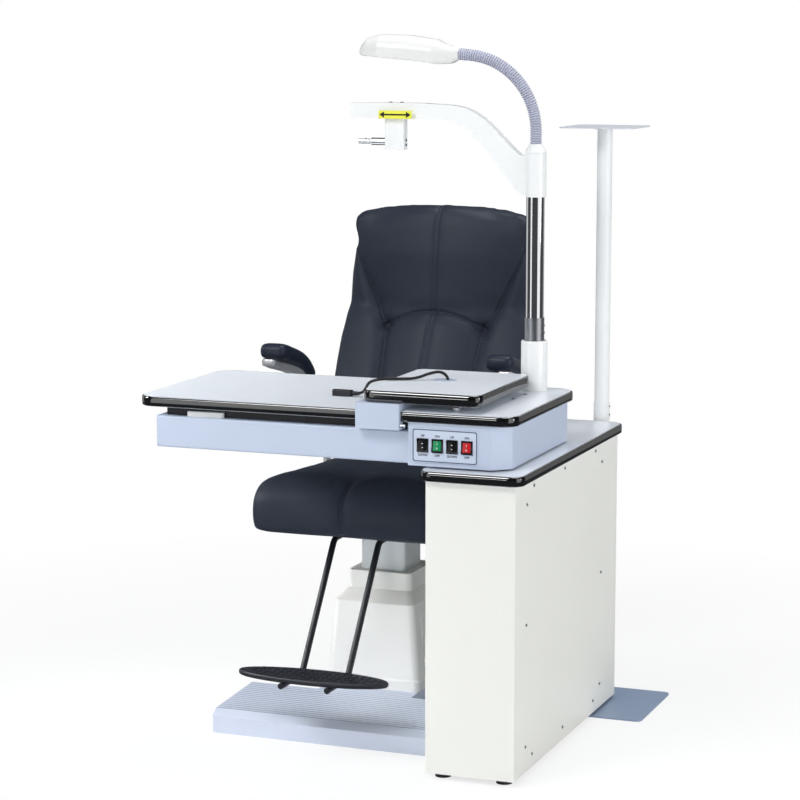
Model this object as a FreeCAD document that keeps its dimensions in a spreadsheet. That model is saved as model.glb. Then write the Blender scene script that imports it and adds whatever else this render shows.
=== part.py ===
"""Ophthalmic examination chair with its cabinet, instrument table, pole, arm, lamp and
projector stand.

Frame: millimetres, +Z up. The origin is on the floor, on the axis of the chair's lift column.
The patient faces -Y, and the cabinet stands on the patient's left, at +X.
"""
import FreeCAD, Part
import math
import os
import re
from types import SimpleNamespace

import Sketcher

V = FreeCAD.Vector

# Driving sizes, in millimetres. Names with _share are parts of another size.
SIZES = {
    # common fits
    "overrun": 2.0,
    "seat_gap": 0.3,
    "run_gap": 0.05,
    "slide_gap": 0.3,
    # step base and floor plate
    "step_half": 291.0,
    "step_flare": 33.0,
    "step_front": 476.0,
    "step_back": 190.0,
    "step_tall": 55.0,
    "step_bevel": 32.0,
    "step_bevel_drop": 13.0,
    "step_wall": 4.0,
    "step_corner": 9.0,
    "rib_pitch": 16.0,
    "rib_groove": 3.0,
    "rib_depth": 1.6,
    "rib_margin": 14.0,
    "tail_half": 126.0,
    "tail_back": 138.0,
    "plate_thick": 4.0,
    "plate_over": 124.0,
    "plate_inside": 192.0,
    "plate_behind": 95.5,
    "plate_corner": 16.0,
    "link_half": 110.0,
    "link_end": 118.0,
    # pedestal cover
    "cover_wall": 4.0,
    "foot_half": 128.0,
    "foot_deep": 140.0,
    "foot_rise": 25.0,
    "body_foot_half": 124.0,
    "body_foot_deep": 137.0,
    "body_top_half": 107.0,
    "body_top_deep": 125.0,
    "body_rise": 191.0,
    "shoulder_rise": 28.0,
    "tier_half": 85.0,
    "tier_rise": 45.0,
    "cover_corner": 16.0,
    "panel_groove": 7.0,
    "panel_groove_depth": 2.0,
    "panel_margin": 26.0,
    # chair lift
    "column_half": 60.0,
    "column_wall": 6.0,
    "column_corner": 9.0,
    "column_low": 160.0,
    "column_top": 455.0,
    "column_cap": 12.0,
    "core_wall": 8.0,
    "core_top": 340.0,
    "core_flange_half": 100.0,
    "core_flange_thick": 10.0,
    "mount_half": 104.0,
    "mount_thick": 12.0,
    "mount_spigot": 40.0,
    "mount_spigot_long": 35.0,
    # seat
    "frame_half": 200.0,
    "frame_front": 250.0,
    "frame_back": 130.0,
    "frame_thick": 20.0,
    "frame_rail": 36.0,
    "frame_centre_half": 112.0,
    "seat_half": 247.0,
    "seat_front": 352.0,
    "seat_back": 138.0,
    "seat_thick": 133.0,
    # backrest
    "back_low": 622.0,
    "back_tall": 632.0,
    "back_thick": 92.0,
    "shell_thick": 10.0,
    "shell_inset": 10.0,
    "bracket_bar": 34.0,
    "bracket_spread": 70.0,
    "bracket_thick": 10.0,
    # armrests
    "arm_spread": 308.0,
    "pad_wide": 70.0,
    "pad_front": 60.0,
    "pad_rise": 151.0,
    "pad_thick": 37.0,
    "pad_corner": 13.0,
    "base_wide": 30.0,
    "base_inward": 10.0,
    "base_thick": 20.0,
    "eye_behind": 152.0,
    "eye_over_top": 37.0,
    "eye_across": 48.0,
    "post_inside": 262.0,
    "post_thick": 8.0,
    "post_wide": 34.0,
    "post_behind": 208.0,
    "knee_below_eye": 95.0,
    "post_pin": 16.0,
    # footrest
    "rod_thick": 13.0,
    "rod_spread": 60.0,
    "rod_back": 112.0,
    "rod_turn": 238.0,
    "rod_knee": 447.0,
    "rod_tip": 606.0,
    "rod_bend": 30.0,
    "tread_long": 388.0,
    "tread_deep": 145.0,
    "tread_thick": 12.0,
    "tread_centre": 538.0,
    "tread_under": 172.0,
    "tread_edge": 3.0,
    # cabinet
    "cabinet_left": 332.0,
    "cabinet_wide": 218.0,
    "cabinet_front": 640.0,
    "cabinet_deep": 821.5,
    "cabinet_tall": 690.0,
    "cabinet_wall": 3.0,
    "cabinet_corner": 4.0,
    "panel_lip": 18.0,
    "screw_across": 7.0,
    "screw_head": 2.0,
    "foot_across": 38.0,
    "foot_tall": 13.0,
    "foot_inset": 34.0,
    "top_thick": 25.0,
    "top_over_left": 13.6,
    "top_over_right": 17.8,
    "top_over_front": 15.0,
    "top_corner": 30.0,
    "edging": 4.0,
    "edging_round": 3.5,
    # table lift
    "axis_from_left": 118.0,
    "axis_from_front": 435.0,
    "guide_across": 112.0,
    "guide_flange": 170.0,
    "guide_flange_thick": 8.0,
    "guide_below_top": 27.0,
    "lift_across": 88.0,
    "lift_bore": 64.0,
    "lift_low": 250.0,
    "lift_flange": 130.0,
    "lift_flange_thick": 3.5,
    "table_gap": 4.5,
    "spindle_across": 54.0,
    "spindle_down": 92.5,
    "spindle_collar": 12.0,
    "sleeve_across": 64.0,
    "sleeve_tall": 122.0,
    "sleeve_round": 4.0,
    "collar_across": 47.6,
    "collar_tall": 55.0,
    # table
    "housing_left": 170.0,
    "housing_right": 72.0,
    "housing_front": 414.0,
    "housing_back": 47.0,
    "housing_tall": 100.5,
    "housing_wall": 3.0,
    "housing_chamfer": 38.0,
    "housing_round": 6.0,
    "hub_across": 84.0,
    "beam_long": 642.0,
    "beam_front": 408.0,
    "beam_deep": 120.0,
    "beam_rise": 2.5,
    "beam_tall": 76.0,
    "beam_wall": 3.0,
    "beam_round": 6.0,
    "rail_start": 17.0,
    "rail_front": 385.0,
    "rail_deep": 80.0,
    "board_left": 858.0,
    "board_right": 91.0,
    "board_front": 422.0,
    "board_back": 55.0,
    "board_thick": 25.0,
    "board_corner": 40.0,
    "slot_long": 24.0,
    "slot_wide": 5.0,
    "slot_depth": 3.0,
    "slot_front": 173.0,
    "slot_pitch": 94.0,
    "lever_long": 85.0,
    "lever_deep": 14.0,
    "lever_tall": 12.0,
    "lever_end": 61.0,
    "lever_pin": 5.0,
    "lever_pin_long": 0.3,
    # switches
    "switch_left": 157.0,
    "switch_wide": 159.0,
    "switch_tall": 78.0,
    "switch_low": 9.5,
    "switch_thick": 2.0,
    "rocker_wide": 28.0,
    "rocker_tall": 32.5,
    "rocker_pitch": 35.8,
    "rocker_proud": 3.5,
    "rocker_dip": 2.2,
    "rocker_gap": 0.6,
    "rocker_taper": 0.8,
    "rocker_deep": 16.0,
    "rocker_axle": 4.0,
    "rocker_axle_back": 7.0,
    "cheek_thick": 3.0,
    # instrument platform
    "deck_left": 280.0,
    "deck_wide": 288.0,
    "deck_front": 423.0,
    "deck_deep": 376.0,
    "deck_rise": 17.0,
    "deck_thick": 28.0,
    "deck_corner": 26.0,
    "block_left": 291.0,
    "block_wide": 108.0,
    "block_reach": 13.0,
    "block_drop": 18.0,
    "block_lip": 15.0,
    "block_arm": 330.0,
    "knob_across": 9.0,
    "knob_long": 11.0,
    "knob_stem": 5.0,
    "roller_across": 15.0,
    "roller_wide": 20.0,
    "roller_axle": 5.0,
    "roller_cheek": 2.0,
    "roller_right": 63.0,
    "roller_front": 367.0,
    "roller_pitch": 242.0,
    "grommet_across": 56.0,
    "grommet_hole": 48.0,
    "grommet_lip": 1.5,
    "grommet_right": 150.0,
    "grommet_front": 215.0,
    "grommet_slot": 7.6,
    # cable
    "cable_across": 7.0,
    "plug_long": 47.0,
    "plug_wide": 17.0,
    "plug_tall": 15.0,
    "plug_round": 3.0,
    # pole, arm and lamp
    "pole_across": 44.0,
    "pole_low": 58.0,
    "pole_show": 290.0,
    "spigot_across": 28.0,
    "spigot_long": 70.0,
    "arm_hub_across": 52.0,
    "arm_hub_tall": 103.0,
    "arm_reach": 473.0,
    "arm_rise": 200.0,
    "arm_thick": 27.6,
    "arm_groove": 12.0,
    "arm_groove_depth": 10.0,
    "arm_groove_start": 50.0,
    "arm_groove_long": 150.0,
    "bracket_from_tip": 91.0,
    "bracket_long": 50.0,
    "bracket_drop": 75.0,
    "pin_drop": 56.0,
    "pin_collar": 18.0,
    "pin_collar_long": 38.0,
    "pin_across": 12.0,
    "pin_long": 34.0,
    "pin_stub": 10.0,
    "ball_across": 5.0,
    "cone_across": 30.0,
    "cone_tall": 23.0,
    "cone_spigot": 20.0,
    "cone_spigot_long": 20.0,
    "hose_across": 28.0,
    "hose_bore": 16.0,
    "hose_groove": 1.8,
    "hose_ribs": 18,
    "hose_straight": 28.0,
    "hose_radius": 181.0,
    "shade_long": 264.0,
    "shade_wide": 100.0,
    "shade_tall": 60.0,
    "shade_wall": 3.0,
    "lens_thick": 3.0,
    # projector stand
    "stand_right": 50.0,
    "stand_gap": 3.0,
    "stand_across": 41.0,
    "stand_over_top": 44.0,
    "mast_across": 38.0,
    "mast_low": 500.0,
    "mast_top": 1474.0,
    "tray_wide": 190.0,
    "tray_deep": 182.0,
    "tray_thick": 3.0,
    "tray_corner": 10.0,
    "tray_hub": 60.0,
    "tray_hub_thick": 4.0,
}

mm = SimpleNamespace(**SIZES)

doc = FreeCAD.newDocument("ExaminationUnit")
sheet = doc.addObject("Spreadsheet::Sheet", "Sizes")
for row, (alias, value) in enumerate(SIZES.items(), start=1):
    sheet.set(f"A{row}", alias)
    sheet.set(f"B{row}", str(value))
    sheet.setAlias(f"B{row}", alias)
doc.recompute()

# Levels and places that several pieces share, written with the names in the sheet.
AXIS_X = "(cabinet_left + axis_from_left)"
AXIS_Y = "(axis_from_front - cabinet_front)"
TOP_UNDER = "(foot_tall + cabinet_tall)"
TABLE_UNDER = "(foot_tall + cabinet_tall + top_thick + table_gap)"
BOARD_UNDER = "(foot_tall + cabinet_tall + top_thick + table_gap + housing_tall)"
STAND_X = "(cabinet_left + axis_from_left + stand_right)"
STAND_Y = "(cabinet_deep - cabinet_front + stand_gap + stand_across / 2)"

table_under = mm.foot_tall + mm.cabinet_tall + mm.top_thick + mm.table_gap
board_under = table_under + mm.housing_tall
board_top = board_under + mm.board_thick
sleeve_top = board_top + mm.sleeve_tall
hub_under = sleeve_top + mm.collar_tall + mm.pole_show
hub_top = hub_under + mm.arm_hub_tall
axis_x = mm.cabinet_left + mm.axis_from_left
axis_y = mm.axis_from_front - mm.cabinet_front


def cells(text):
    """An expression of size names, turned into one that reads the sheet."""
    return re.sub(r"[a-z][a-z_]*", lambda name: "Sizes." + name.group(0), text)


def bind(item, prop, text):
    item.setExpression(prop, cells(text))


def place(item, x="0", y="0", z="0"):
    """Hold an object's place with expressions."""
    for axis, text in (("x", x), ("y", y), ("z", z)):
        if text != "0":
            bind(item, "Placement.Base." + axis, text)
    return item


def new_body(label):
    body = doc.addObject("PartDesign::Body", label)
    body.Label = label
    return body


def origin_part(body, role):
    """One of the body's own origin planes or axes."""
    return next(item for item in body.Origin.OriginFeatures if item.Role == role)


def new_sketch(body, role, level="0"):
    """A sketch on one of the body's own planes, moved along that plane's normal."""
    sketch = body.newObject("Sketcher::SketchObject", body.Name + "_sketch")
    sketch.AttachmentSupport = [(origin_part(body, role), "")]
    sketch.MapMode = "FlatFace"
    if level != "0":
        bind(sketch, "AttachmentOffset.Base.z", level)
    return sketch


def draw_outline(sketch, corners):
    """A closed outline of straight lines whose corners are held by expressions."""
    first = sketch.GeometryCount
    count = len(corners)
    turn = math.tau / count
    rim = [V(math.cos(turn * i), math.sin(turn * i), 0) for i in range(count)]
    for i in range(count):
        sketch.addGeometry(Part.LineSegment(rim[i], rim[(i + 1) % count]), False)
    for i in range(count):
        follower = first + (i + 1) % count
        sketch.addConstraint(Sketcher.Constraint("Coincident", first + i, 2, follower, 1))
    for i, (across, up) in enumerate(corners):
        for kind, text, start in (("DistanceX", across, rim[i].x), ("DistanceY", up, rim[i].y)):
            held = sketch.addConstraint(Sketcher.Constraint(kind, -1, 1, first + i, 1, start))
            bind(sketch, f"Constraints[{held}]", text)


def draw_circle(sketch, across, x="0", y="0"):
    """A circle whose diameter and centre are held by expressions."""
    ring = sketch.addGeometry(Part.Circle(V(1, 1, 0), V(0, 0, 1), 1), False)
    held = sketch.addConstraint(Sketcher.Constraint("Diameter", ring, 2))
    bind(sketch, f"Constraints[{held}]", across)
    for kind, text in (("DistanceX", x), ("DistanceY", y)):
        held = sketch.addConstraint(Sketcher.Constraint(kind, -1, 1, ring, 3, 1))
        bind(sketch, f"Constraints[{held}]", text)


def box_outline(left, right, low, high):
    return [(left, low), (right, low), (right, high), (left, high)]


def add_pad(body, sketch, length, both_ways=False, back=False):
    pad = body.newObject("PartDesign::Pad", body.Name + "_pad")
    pad.Profile = sketch
    bind(pad, "Length", length)
    pad.Midplane = both_ways
    pad.Reversed = back
    doc.recompute()
    return pad


def add_pocket(body, sketch, length, both_ways=False, back=False):
    """Cut against the sketch's normal, or along it when back is true."""
    before = body.Shape.Volume
    pocket = body.newObject("PartDesign::Pocket", body.Name + "_pocket")
    pocket.Profile = sketch
    bind(pocket, "Length", length)
    pocket.Midplane = both_ways
    pocket.Reversed = back
    doc.recompute()
    if body.Shape.Volume >= before:
        raise ValueError(body.Label + ": a pocket cuts nothing")
    return pocket


def slab(label, corners, length, role="XY_Plane", level="0", both_ways=False):
    """A body padded from one outline."""
    body = new_body(label)
    sketch = new_sketch(body, role, level)
    draw_outline(sketch, corners)
    add_pad(body, sketch, length, both_ways)
    return body


def cut(body, corners, length, role="XY_Plane", level="0", both_ways=False, back=False):
    sketch = new_sketch(body, role, level)
    draw_outline(sketch, corners)
    return add_pocket(body, sketch, length, both_ways, back)


def bore(body, across, length, x="0", y="0", role="XY_Plane", level="0", back=True):
    """A round hole, cut along the sketch's normal unless back is false."""
    sketch = new_sketch(body, role, level)
    draw_circle(sketch, across, x, y)
    return add_pocket(body, sketch, length, False, back)


def round_edges(body, radius, along, chosen=lambda middle: True):
    """Round the straight edges that run along one axis."""
    tip = body.Tip
    names = []
    for number, edge in enumerate(tip.Shape.Edges, start=1):
        if not isinstance(edge.Curve, Part.Line):
            continue
        direction = edge.tangentAt(edge.FirstParameter)
        if abs(direction.dot(along)) > 0.999 and chosen(edge.CenterOfMass):
            names.append(f"Edge{number}")
    fillet = body.newObject("PartDesign::Fillet", body.Name + "_fillet")
    fillet.Base = (tip, names)
    bind(fillet, "Radius", radius)
    doc.recompute()
    return fillet


def round_rim(body, radius, level):
    """Round the whole outer rim of a flat top or bottom face at one level."""
    tip = body.Tip
    names = []
    for number, edge in enumerate(tip.Shape.Edges, start=1):
        box = edge.BoundBox
        flat = box.ZLength < mm.run_gap and abs(box.ZMin - level) < mm.run_gap
        if flat:
            names.append(f"Edge{number}")
    fillet = body.newObject("PartDesign::Fillet", body.Name + "_rim")
    fillet.Base = (tip, names)
    bind(fillet, "Radius", radius)
    doc.recompute()
    return fillet


def turned(label, profile, along="V_Axis"):
    """A body turned about its own Z axis, or about X when along is H_Axis."""
    body = new_body(label)
    sketch = new_sketch(body, "XZ_Plane")
    draw_outline(sketch, profile)
    turn = body.newObject("PartDesign::Revolution", body.Name + "_turn")
    turn.Profile = sketch
    turn.ReferenceAxis = (sketch, [along])
    turn.Angle = 360
    doc.recompute()
    return body


def tube_profile(inner, outer, low, high):
    """Half the section of a tube, from diameters and levels."""
    inside = f"({inner}) / 2"
    outside = f"({outer}) / 2"
    return [(inside, low), (outside, low), (outside, high), (inside, high)]


def shaped(label, shape):
    """A piece whose shape is worked out from the sizes."""
    piece = doc.addObject("Part::Feature", label)
    piece.Label = label
    piece.Shape = shape
    return piece


def bend_edges(points, radii, closed=False):
    """Straight runs joined by tangent arcs; one radius for each turned point."""
    count = len(points)
    turned_at = range(count) if closed else range(1, count - 1)
    cuts = {}
    for i, radius in zip(turned_at, radii):
        here = points[i]
        into = here.sub(points[i - 1]).normalize()
        out = points[(i + 1) % count].sub(here).normalize()
        half = into.getAngle(out) / 2
        reach = radius * math.tan(half)
        middle = here.add(out.sub(into).normalize().multiply(radius / math.cos(half) - radius))
        cuts[i] = (here.sub(V(into).multiply(reach)), middle, here.add(V(out).multiply(reach)))
    edges = []
    last = count if closed else count - 1
    for i in range(last):
        after = (i + 1) % count
        start = cuts[i][2] if i in cuts else points[i]
        end = cuts[after][0] if after in cuts else points[after]
        edges.append(Part.LineSegment(start, end).toShape())
        if after in cuts:
            edges.append(Part.Arc(*cuts[after]).toShape())
    return edges


def rounded_box_wire(left, right, front, back, corner, level):
    """A rectangle with round corners, flat at one level."""
    points = [V(left, front, level), V(right, front, level),
              V(right, back, level), V(left, back, level)]
    return Part.Wire(bend_edges(points, [corner] * len(points), closed=True))


def tube_along(points, radii, across):
    """A round rod or cord along straight runs and tangent arcs."""
    path = Part.Wire(bend_edges(points, radii))
    start = points[0]
    ring = Part.Wire(Part.Circle(start, points[1].sub(start), across / 2).toShape())
    return path.makePipeShell([ring], True, False), path.Length


def loft(wires, ruled=True):
    return Part.makeLoft(wires, True, ruled)


# Step base and floor plate

def step_base():
    """The ribbed step in front of the pedestal, a hollow moulding with a tail under it."""
    side = "(step_half + step_flare * (step_front - step_back) / step_front)"
    body = slab("base_platform", [
        ("-step_half", "-step_front"), ("step_half", "-step_front"),
        (side, "-step_back"), ("tail_half", "-step_back"),
        ("tail_half", "tail_back"), ("-tail_half", "tail_back"),
        ("-tail_half", "-step_back"), ("-" + side, "-step_back")], "step_tall")
    cut(body, [
        ("-step_front - overrun", "step_tall + overrun"),
        ("-step_front - overrun", "step_tall - step_bevel_drop"),
        ("-step_front", "step_tall - step_bevel_drop"),
        ("-step_front + step_bevel", "step_tall"),
        ("-step_front + step_bevel", "step_tall + overrun")],
        "2 * (step_half + step_flare + overrun)", role="YZ_Plane", both_ways=True)
    corners_at = -mm.step_front
    round_edges(body, "step_corner", V(0, 0, 1), lambda middle: middle.y < corners_at + mm.overrun)
    hollow = "step_tall - step_wall - step_bevel_drop"
    inner = "(step_half - step_wall)"
    cut(body, [
        ("-" + inner, "-step_front + step_wall"), (inner, "-step_front + step_wall"),
        (inner, "-step_back - step_wall"), ("tail_half - step_wall", "-step_back - step_wall"),
        ("tail_half - step_wall", "tail_back - step_wall"),
        ("step_wall - tail_half", "tail_back - step_wall"),
        ("step_wall - tail_half", "-step_back - step_wall"),
        ("-" + inner, "-step_back - step_wall")], hollow, back=True)
    deep = "step_tall - step_wall"
    cut(body, [
        ("-" + inner, "step_bevel - step_front"), (inner, "step_bevel - step_front"),
        (inner, "-step_back - step_wall"), ("tail_half - step_wall", "-step_back - step_wall"),
        ("tail_half - step_wall", "tail_back - step_wall"),
        ("step_wall - tail_half", "tail_back - step_wall"),
        ("step_wall - tail_half", "-step_back - step_wall"),
        ("-" + inner, "-step_back - step_wall")], deep, back=True)
    core = "(column_half - column_wall - slide_gap + overrun)"
    cut(body, box_outline("-" + core, core, "-" + core, core), "step_tall + overrun", back=True)
    notch = "(link_half + overrun)"
    cut(body, box_outline("tail_half - step_wall - overrun", "tail_half + overrun",
                          "-" + notch, notch), "plate_thick + seat_gap", back=True)
    first = "step_bevel - step_front"
    groove = cut(body, box_outline("rib_margin - step_half", "step_half - rib_margin",
                                   first, first + " + rib_groove"),
                 "rib_depth", level="step_tall")
    rows = int((mm.step_front - mm.step_bevel - mm.step_back) // mm.rib_pitch)
    pattern = body.newObject("PartDesign::LinearPattern", "rib_rows")
    pattern.Originals = [groove]
    pattern.Direction = (origin_part(body, "Y_Axis"), [""])
    bind(pattern, "Length", f"rib_pitch * {rows - 1}")
    pattern.Occurrences = rows
    body.Tip = pattern
    doc.recompute()
    return body


def floor_plate():
    """Steel plate under the rear of the cabinet, with a tongue that carries the chair."""
    left = "(cabinet_left - overrun)"
    right = "(cabinet_left + cabinet_wide + plate_over)"
    front = "(cabinet_deep - cabinet_front - plate_inside)"
    back = "(cabinet_deep - cabinet_front + plate_behind)"
    body = slab("floor_plate", [
        ("-link_end", "-link_half"), (left, "-link_half"), (left, front), (right, front),
        (right, back), (left, back), (left, "link_half"), ("-link_end", "link_half")],
        "plate_thick")
    rear = mm.cabinet_deep - mm.cabinet_front + mm.plate_behind
    fore = mm.cabinet_deep - mm.cabinet_front - mm.plate_inside
    edge = mm.cabinet_left + mm.cabinet_wide + mm.plate_over

    def outer_corner(middle):
        far_back = abs(middle.y - rear) < mm.overrun
        fore_right = abs(middle.y - fore) < mm.overrun and abs(middle.x - edge) < mm.overrun
        return far_back or fore_right

    round_edges(body, "plate_corner", V(0, 0, 1), outer_corner)
    return body


# Pedestal cover

def cover_levels():
    """Half width, half depth and height of each ring of the pedestal cover."""
    foot_top = mm.step_tall + mm.foot_rise
    body_low = foot_top + (mm.foot_half - mm.body_foot_half)
    body_top = body_low + mm.body_rise
    shoulder = body_top + mm.shoulder_rise
    return [
        (mm.foot_half, mm.foot_deep, mm.step_tall),
        (mm.foot_half, mm.foot_deep, foot_top),
        (mm.body_foot_half, mm.body_foot_deep, body_low),
        (mm.body_top_half, mm.body_top_deep, body_top),
        (mm.tier_half, mm.tier_half, shoulder),
        (mm.tier_half, mm.tier_half, shoulder + mm.tier_rise),
    ]


def pedestal_cover():
    """Thin moulded cover: foot, tapered body with framed sides, shoulder and upper tier."""
    levels = cover_levels()
    wall = mm.cover_wall

    def ring(half, deep, level, inset=0):
        corner = mm.cover_corner - inset
        return rounded_box_wire(inset - half, half - inset, inset - deep, deep - inset, corner,
                                level)

    outer = loft([ring(*each) for each in levels])
    half, deep, bottom = levels[0]
    roof_half, roof_deep, roof = levels[-1]
    inner_wires = [ring(half, deep, bottom - mm.overrun, wall)]
    inner_wires += [ring(*each, wall) for each in levels[1:-1]]
    inner_wires.append(ring(roof_half, roof_deep, roof - wall, wall))
    opening = mm.column_half + mm.overrun
    hole = Part.makeBox(2 * opening, 2 * opening, roof, V(-opening, -opening, 0))
    cover = outer.cut(loft(inner_wires)).cut(hole)
    low_half, low_deep, low = levels[2]
    top_half, top_deep, top = levels[3]
    lean = math.degrees(math.atan2(low_half - top_half, top - low))
    middle = V((low_half + top_half) / 2, 0, (low + top) / 2)
    depth = mm.panel_groove_depth
    tall = top - low - 2 * mm.panel_margin
    wide = 2 * top_deep - 2 * mm.panel_margin - 2 * mm.cover_corner

    def frame(side):
        """A grooved frame that lies in one leaning side face."""
        parts = []
        for grown in (0, -2 * mm.panel_groove):
            size = V(2 * depth, wide + grown, tall + grown)
            parts.append(Part.makeBox(*size, V(-depth, -size.y / 2, -size.z / 2)))
        groove = parts[0].cut(parts[1])
        groove.Placement = FreeCAD.Placement(V(side * middle.x, 0, middle.z),
                                             FreeCAD.Rotation(V(0, 1, 0), -side * lean))
        return groove

    return shaped("pedestal_cover", cover.cut(frame(1)).cut(frame(-1)))


# Chair lift

def chair_lift_core():
    """Fixed square core on a flange, bolted to the floor plate."""
    body = slab("chair_lift_core", box_outline("-core_flange_half", "core_flange_half",
                                               "-core_flange_half", "core_flange_half"),
                "core_flange_thick", level="plate_thick")
    half = "(column_half - column_wall - slide_gap)"
    sketch = new_sketch(body, "XY_Plane", "plate_thick")
    draw_outline(sketch, box_outline("-" + half, half, "-" + half, half))
    add_pad(body, sketch, "core_top - plate_thick")
    inside = "(column_half - column_wall - slide_gap - core_wall)"
    cut(body, box_outline("-" + inside, inside, "-" + inside, inside),
        "core_top - plate_thick", level="plate_thick + core_flange_thick", back=True)
    return body


def chair_column():
    """Square outer column that slides over the core and is closed by a bored cap."""
    body = slab("chair_column", box_outline("-column_half", "column_half",
                                            "-column_half", "column_half"),
                "column_top - column_low", level="column_low")
    round_edges(body, "column_corner", V(0, 0, 1))
    inside = "(column_half - column_wall)"
    cut(body, box_outline("-" + inside, inside, "-" + inside, inside),
        "column_top - column_low - column_cap", level="column_low", back=True)
    bore(body, "mount_spigot + 2 * run_gap", "column_cap + 2 * overrun",
         level="column_top - column_cap - overrun")
    return body


def mounting_plate():
    """Square plate bolted to the cap of the column, with a spigot that centres it."""
    body = slab("mounting_plate", box_outline("-mount_half", "mount_half",
                                              "-mount_half", "mount_half"), "mount_thick")
    round_edges(body, "column_corner", V(0, 0, 1))
    spigot = new_sketch(body, "XY_Plane", "-mount_spigot_long")
    draw_circle(spigot, "mount_spigot")
    add_pad(body, spigot, "mount_spigot_long + mount_thick")
    return place(body, z="column_top")


SEAT_UNDER = "(column_top + mount_thick)"
SEAT_LOW = "(column_top + mount_thick + frame_thick)"
seat_under = mm.column_top + mm.mount_thick
seat_low = seat_under + mm.frame_thick


def seat_frame():
    """Welded frame with two open windows beside the centre plate."""
    body = slab("seat_frame", box_outline("-frame_half", "frame_half", "-frame_front",
                                          "frame_back"), "frame_thick", level=SEAT_UNDER)
    for side in ("", "-"):
        low = f"{side}frame_centre_half"
        high = f"{side}(frame_half - frame_rail)"
        cut(body, box_outline(low, high, "frame_rail - frame_front", "frame_back - frame_rail"),
            "frame_thick + overrun", level=SEAT_UNDER, back=True)
    return body


# Seat cushion: one upright section, drawn in towards the sides and along the middle seam

SEAT_STATION_SHARES = (
    # across, drawn in, front pulled back: shares of the half width and of the thickness
    (-1.0, 0.20, 0.20), (-0.985, 0.10, 0.10), (-0.94, 0.035, 0.04), (-0.82, 0.0, 0.0),
    (-0.42, 0.0, 0.0), (-0.045, 0.012, 0.01), (0.0, 0.05, 0.05), (0.045, 0.012, 0.01),
    (0.42, 0.0, 0.0), (0.82, 0.0, 0.0), (0.94, 0.035, 0.04), (0.985, 0.10, 0.10),
    (1.0, 0.20, 0.20),
)


def seat_section(across, drawn_in, pulled):
    """One closed section of the seat cushion, in a plane across its width."""
    thick = mm.seat_thick
    long = mm.seat_front + mm.seat_back
    low = seat_low + mm.seat_gap + thick * drawn_in * 0.5
    top = seat_low + thick * (1 - drawn_in)
    front = -mm.seat_front + thick * pulled
    back = mm.seat_back - thick * pulled
    tall = top - low
    x = across * mm.seat_half
    points = {
        "under_back": V(x, back - tall * 0.08, low),
        "under_front": V(x, front + tall * 0.18, low),
        "chin": V(x, front + tall * 0.035, low + tall * 0.10),
        "nose_low": V(x, front, low + tall * 0.32),
        "nose": V(x, front + tall * 0.03, low + tall * 0.60),
        "nose_high": V(x, front + tall * 0.20, low + tall * 0.82),
        "brow": V(x, front + tall * 0.45, low + tall * 0.95),
        "top_front": V(x, front + tall * 0.90, top),
        "top_middle": V(x, front + long * 0.6, top + tall * 0.01),
        "top_back": V(x, back - tall * 0.25, top - tall * 0.02),
        "rear_high": V(x, back - tall * 0.06, top - tall * 0.09),
        "rear": V(x, back, top - tall * 0.30),
        "rear_low": V(x, back, low + tall * 0.12),
        "heel": V(x, back - tall * 0.025, low + tall * 0.03),
    }
    p = SimpleNamespace(**points)
    edges = [
        Part.LineSegment(p.under_back, p.under_front).toShape(),
        Part.Arc(p.under_front, p.chin, p.nose_low).toShape(),
        Part.Arc(p.nose_low, p.nose, p.nose_high).toShape(),
        Part.Arc(p.nose_high, p.brow, p.top_front).toShape(),
        Part.Arc(p.top_front, p.top_middle, p.top_back).toShape(),
        Part.Arc(p.top_back, p.rear_high, p.rear).toShape(),
        Part.LineSegment(p.rear, p.rear_low).toShape(),
        Part.Arc(p.rear_low, p.heel, p.under_back).toShape(),
    ]
    return Part.Wire(edges)


def seat_cushion():
    return shaped("seat_cushion", loft([seat_section(*each) for each in SEAT_STATION_SHARES]))


# Backrest: level sections from the lumbar panel up to the rounded top

BACK_STATION_SHARES = (
    # height, half width, front, side seam: shares of the backrest's height, the seat's half
    # width, the backrest's height and the seat's half width
    (0.0, 0.93, 0.255, 0.46), (0.012, 0.965, 0.240, 0.47), (0.13, 1.0, 0.270, 0.48),
    (0.28, 1.04, 0.325, 0.50), (0.43, 1.05, 0.410, 0.53), (0.535, 1.03, 0.462, 0.565),
    (0.553, 1.025, 0.476, 0.60), (0.575, 1.02, 0.490, 0.65), (0.70, 1.01, 0.500, 0.80),
    (0.80, 0.985, 0.505, 0.93), (0.825, 0.965, 0.510, 0.945), (0.85, 0.98, 0.516, 0.95),
    (0.88, 1.01, 0.523, 0.95), (0.915, 0.995, 0.531, 0.93), (0.955, 0.91, 0.543, 0.85),
    (0.985, 0.78, 0.563, 0.70), (1.0, 0.66, 0.600, 0.56),
)
BACK_SIDE_DROP_SHARE = 0.38
BACK_WING_SHARE = 0.14
BACK_TOP_THIN_SHARE = 0.35


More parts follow.
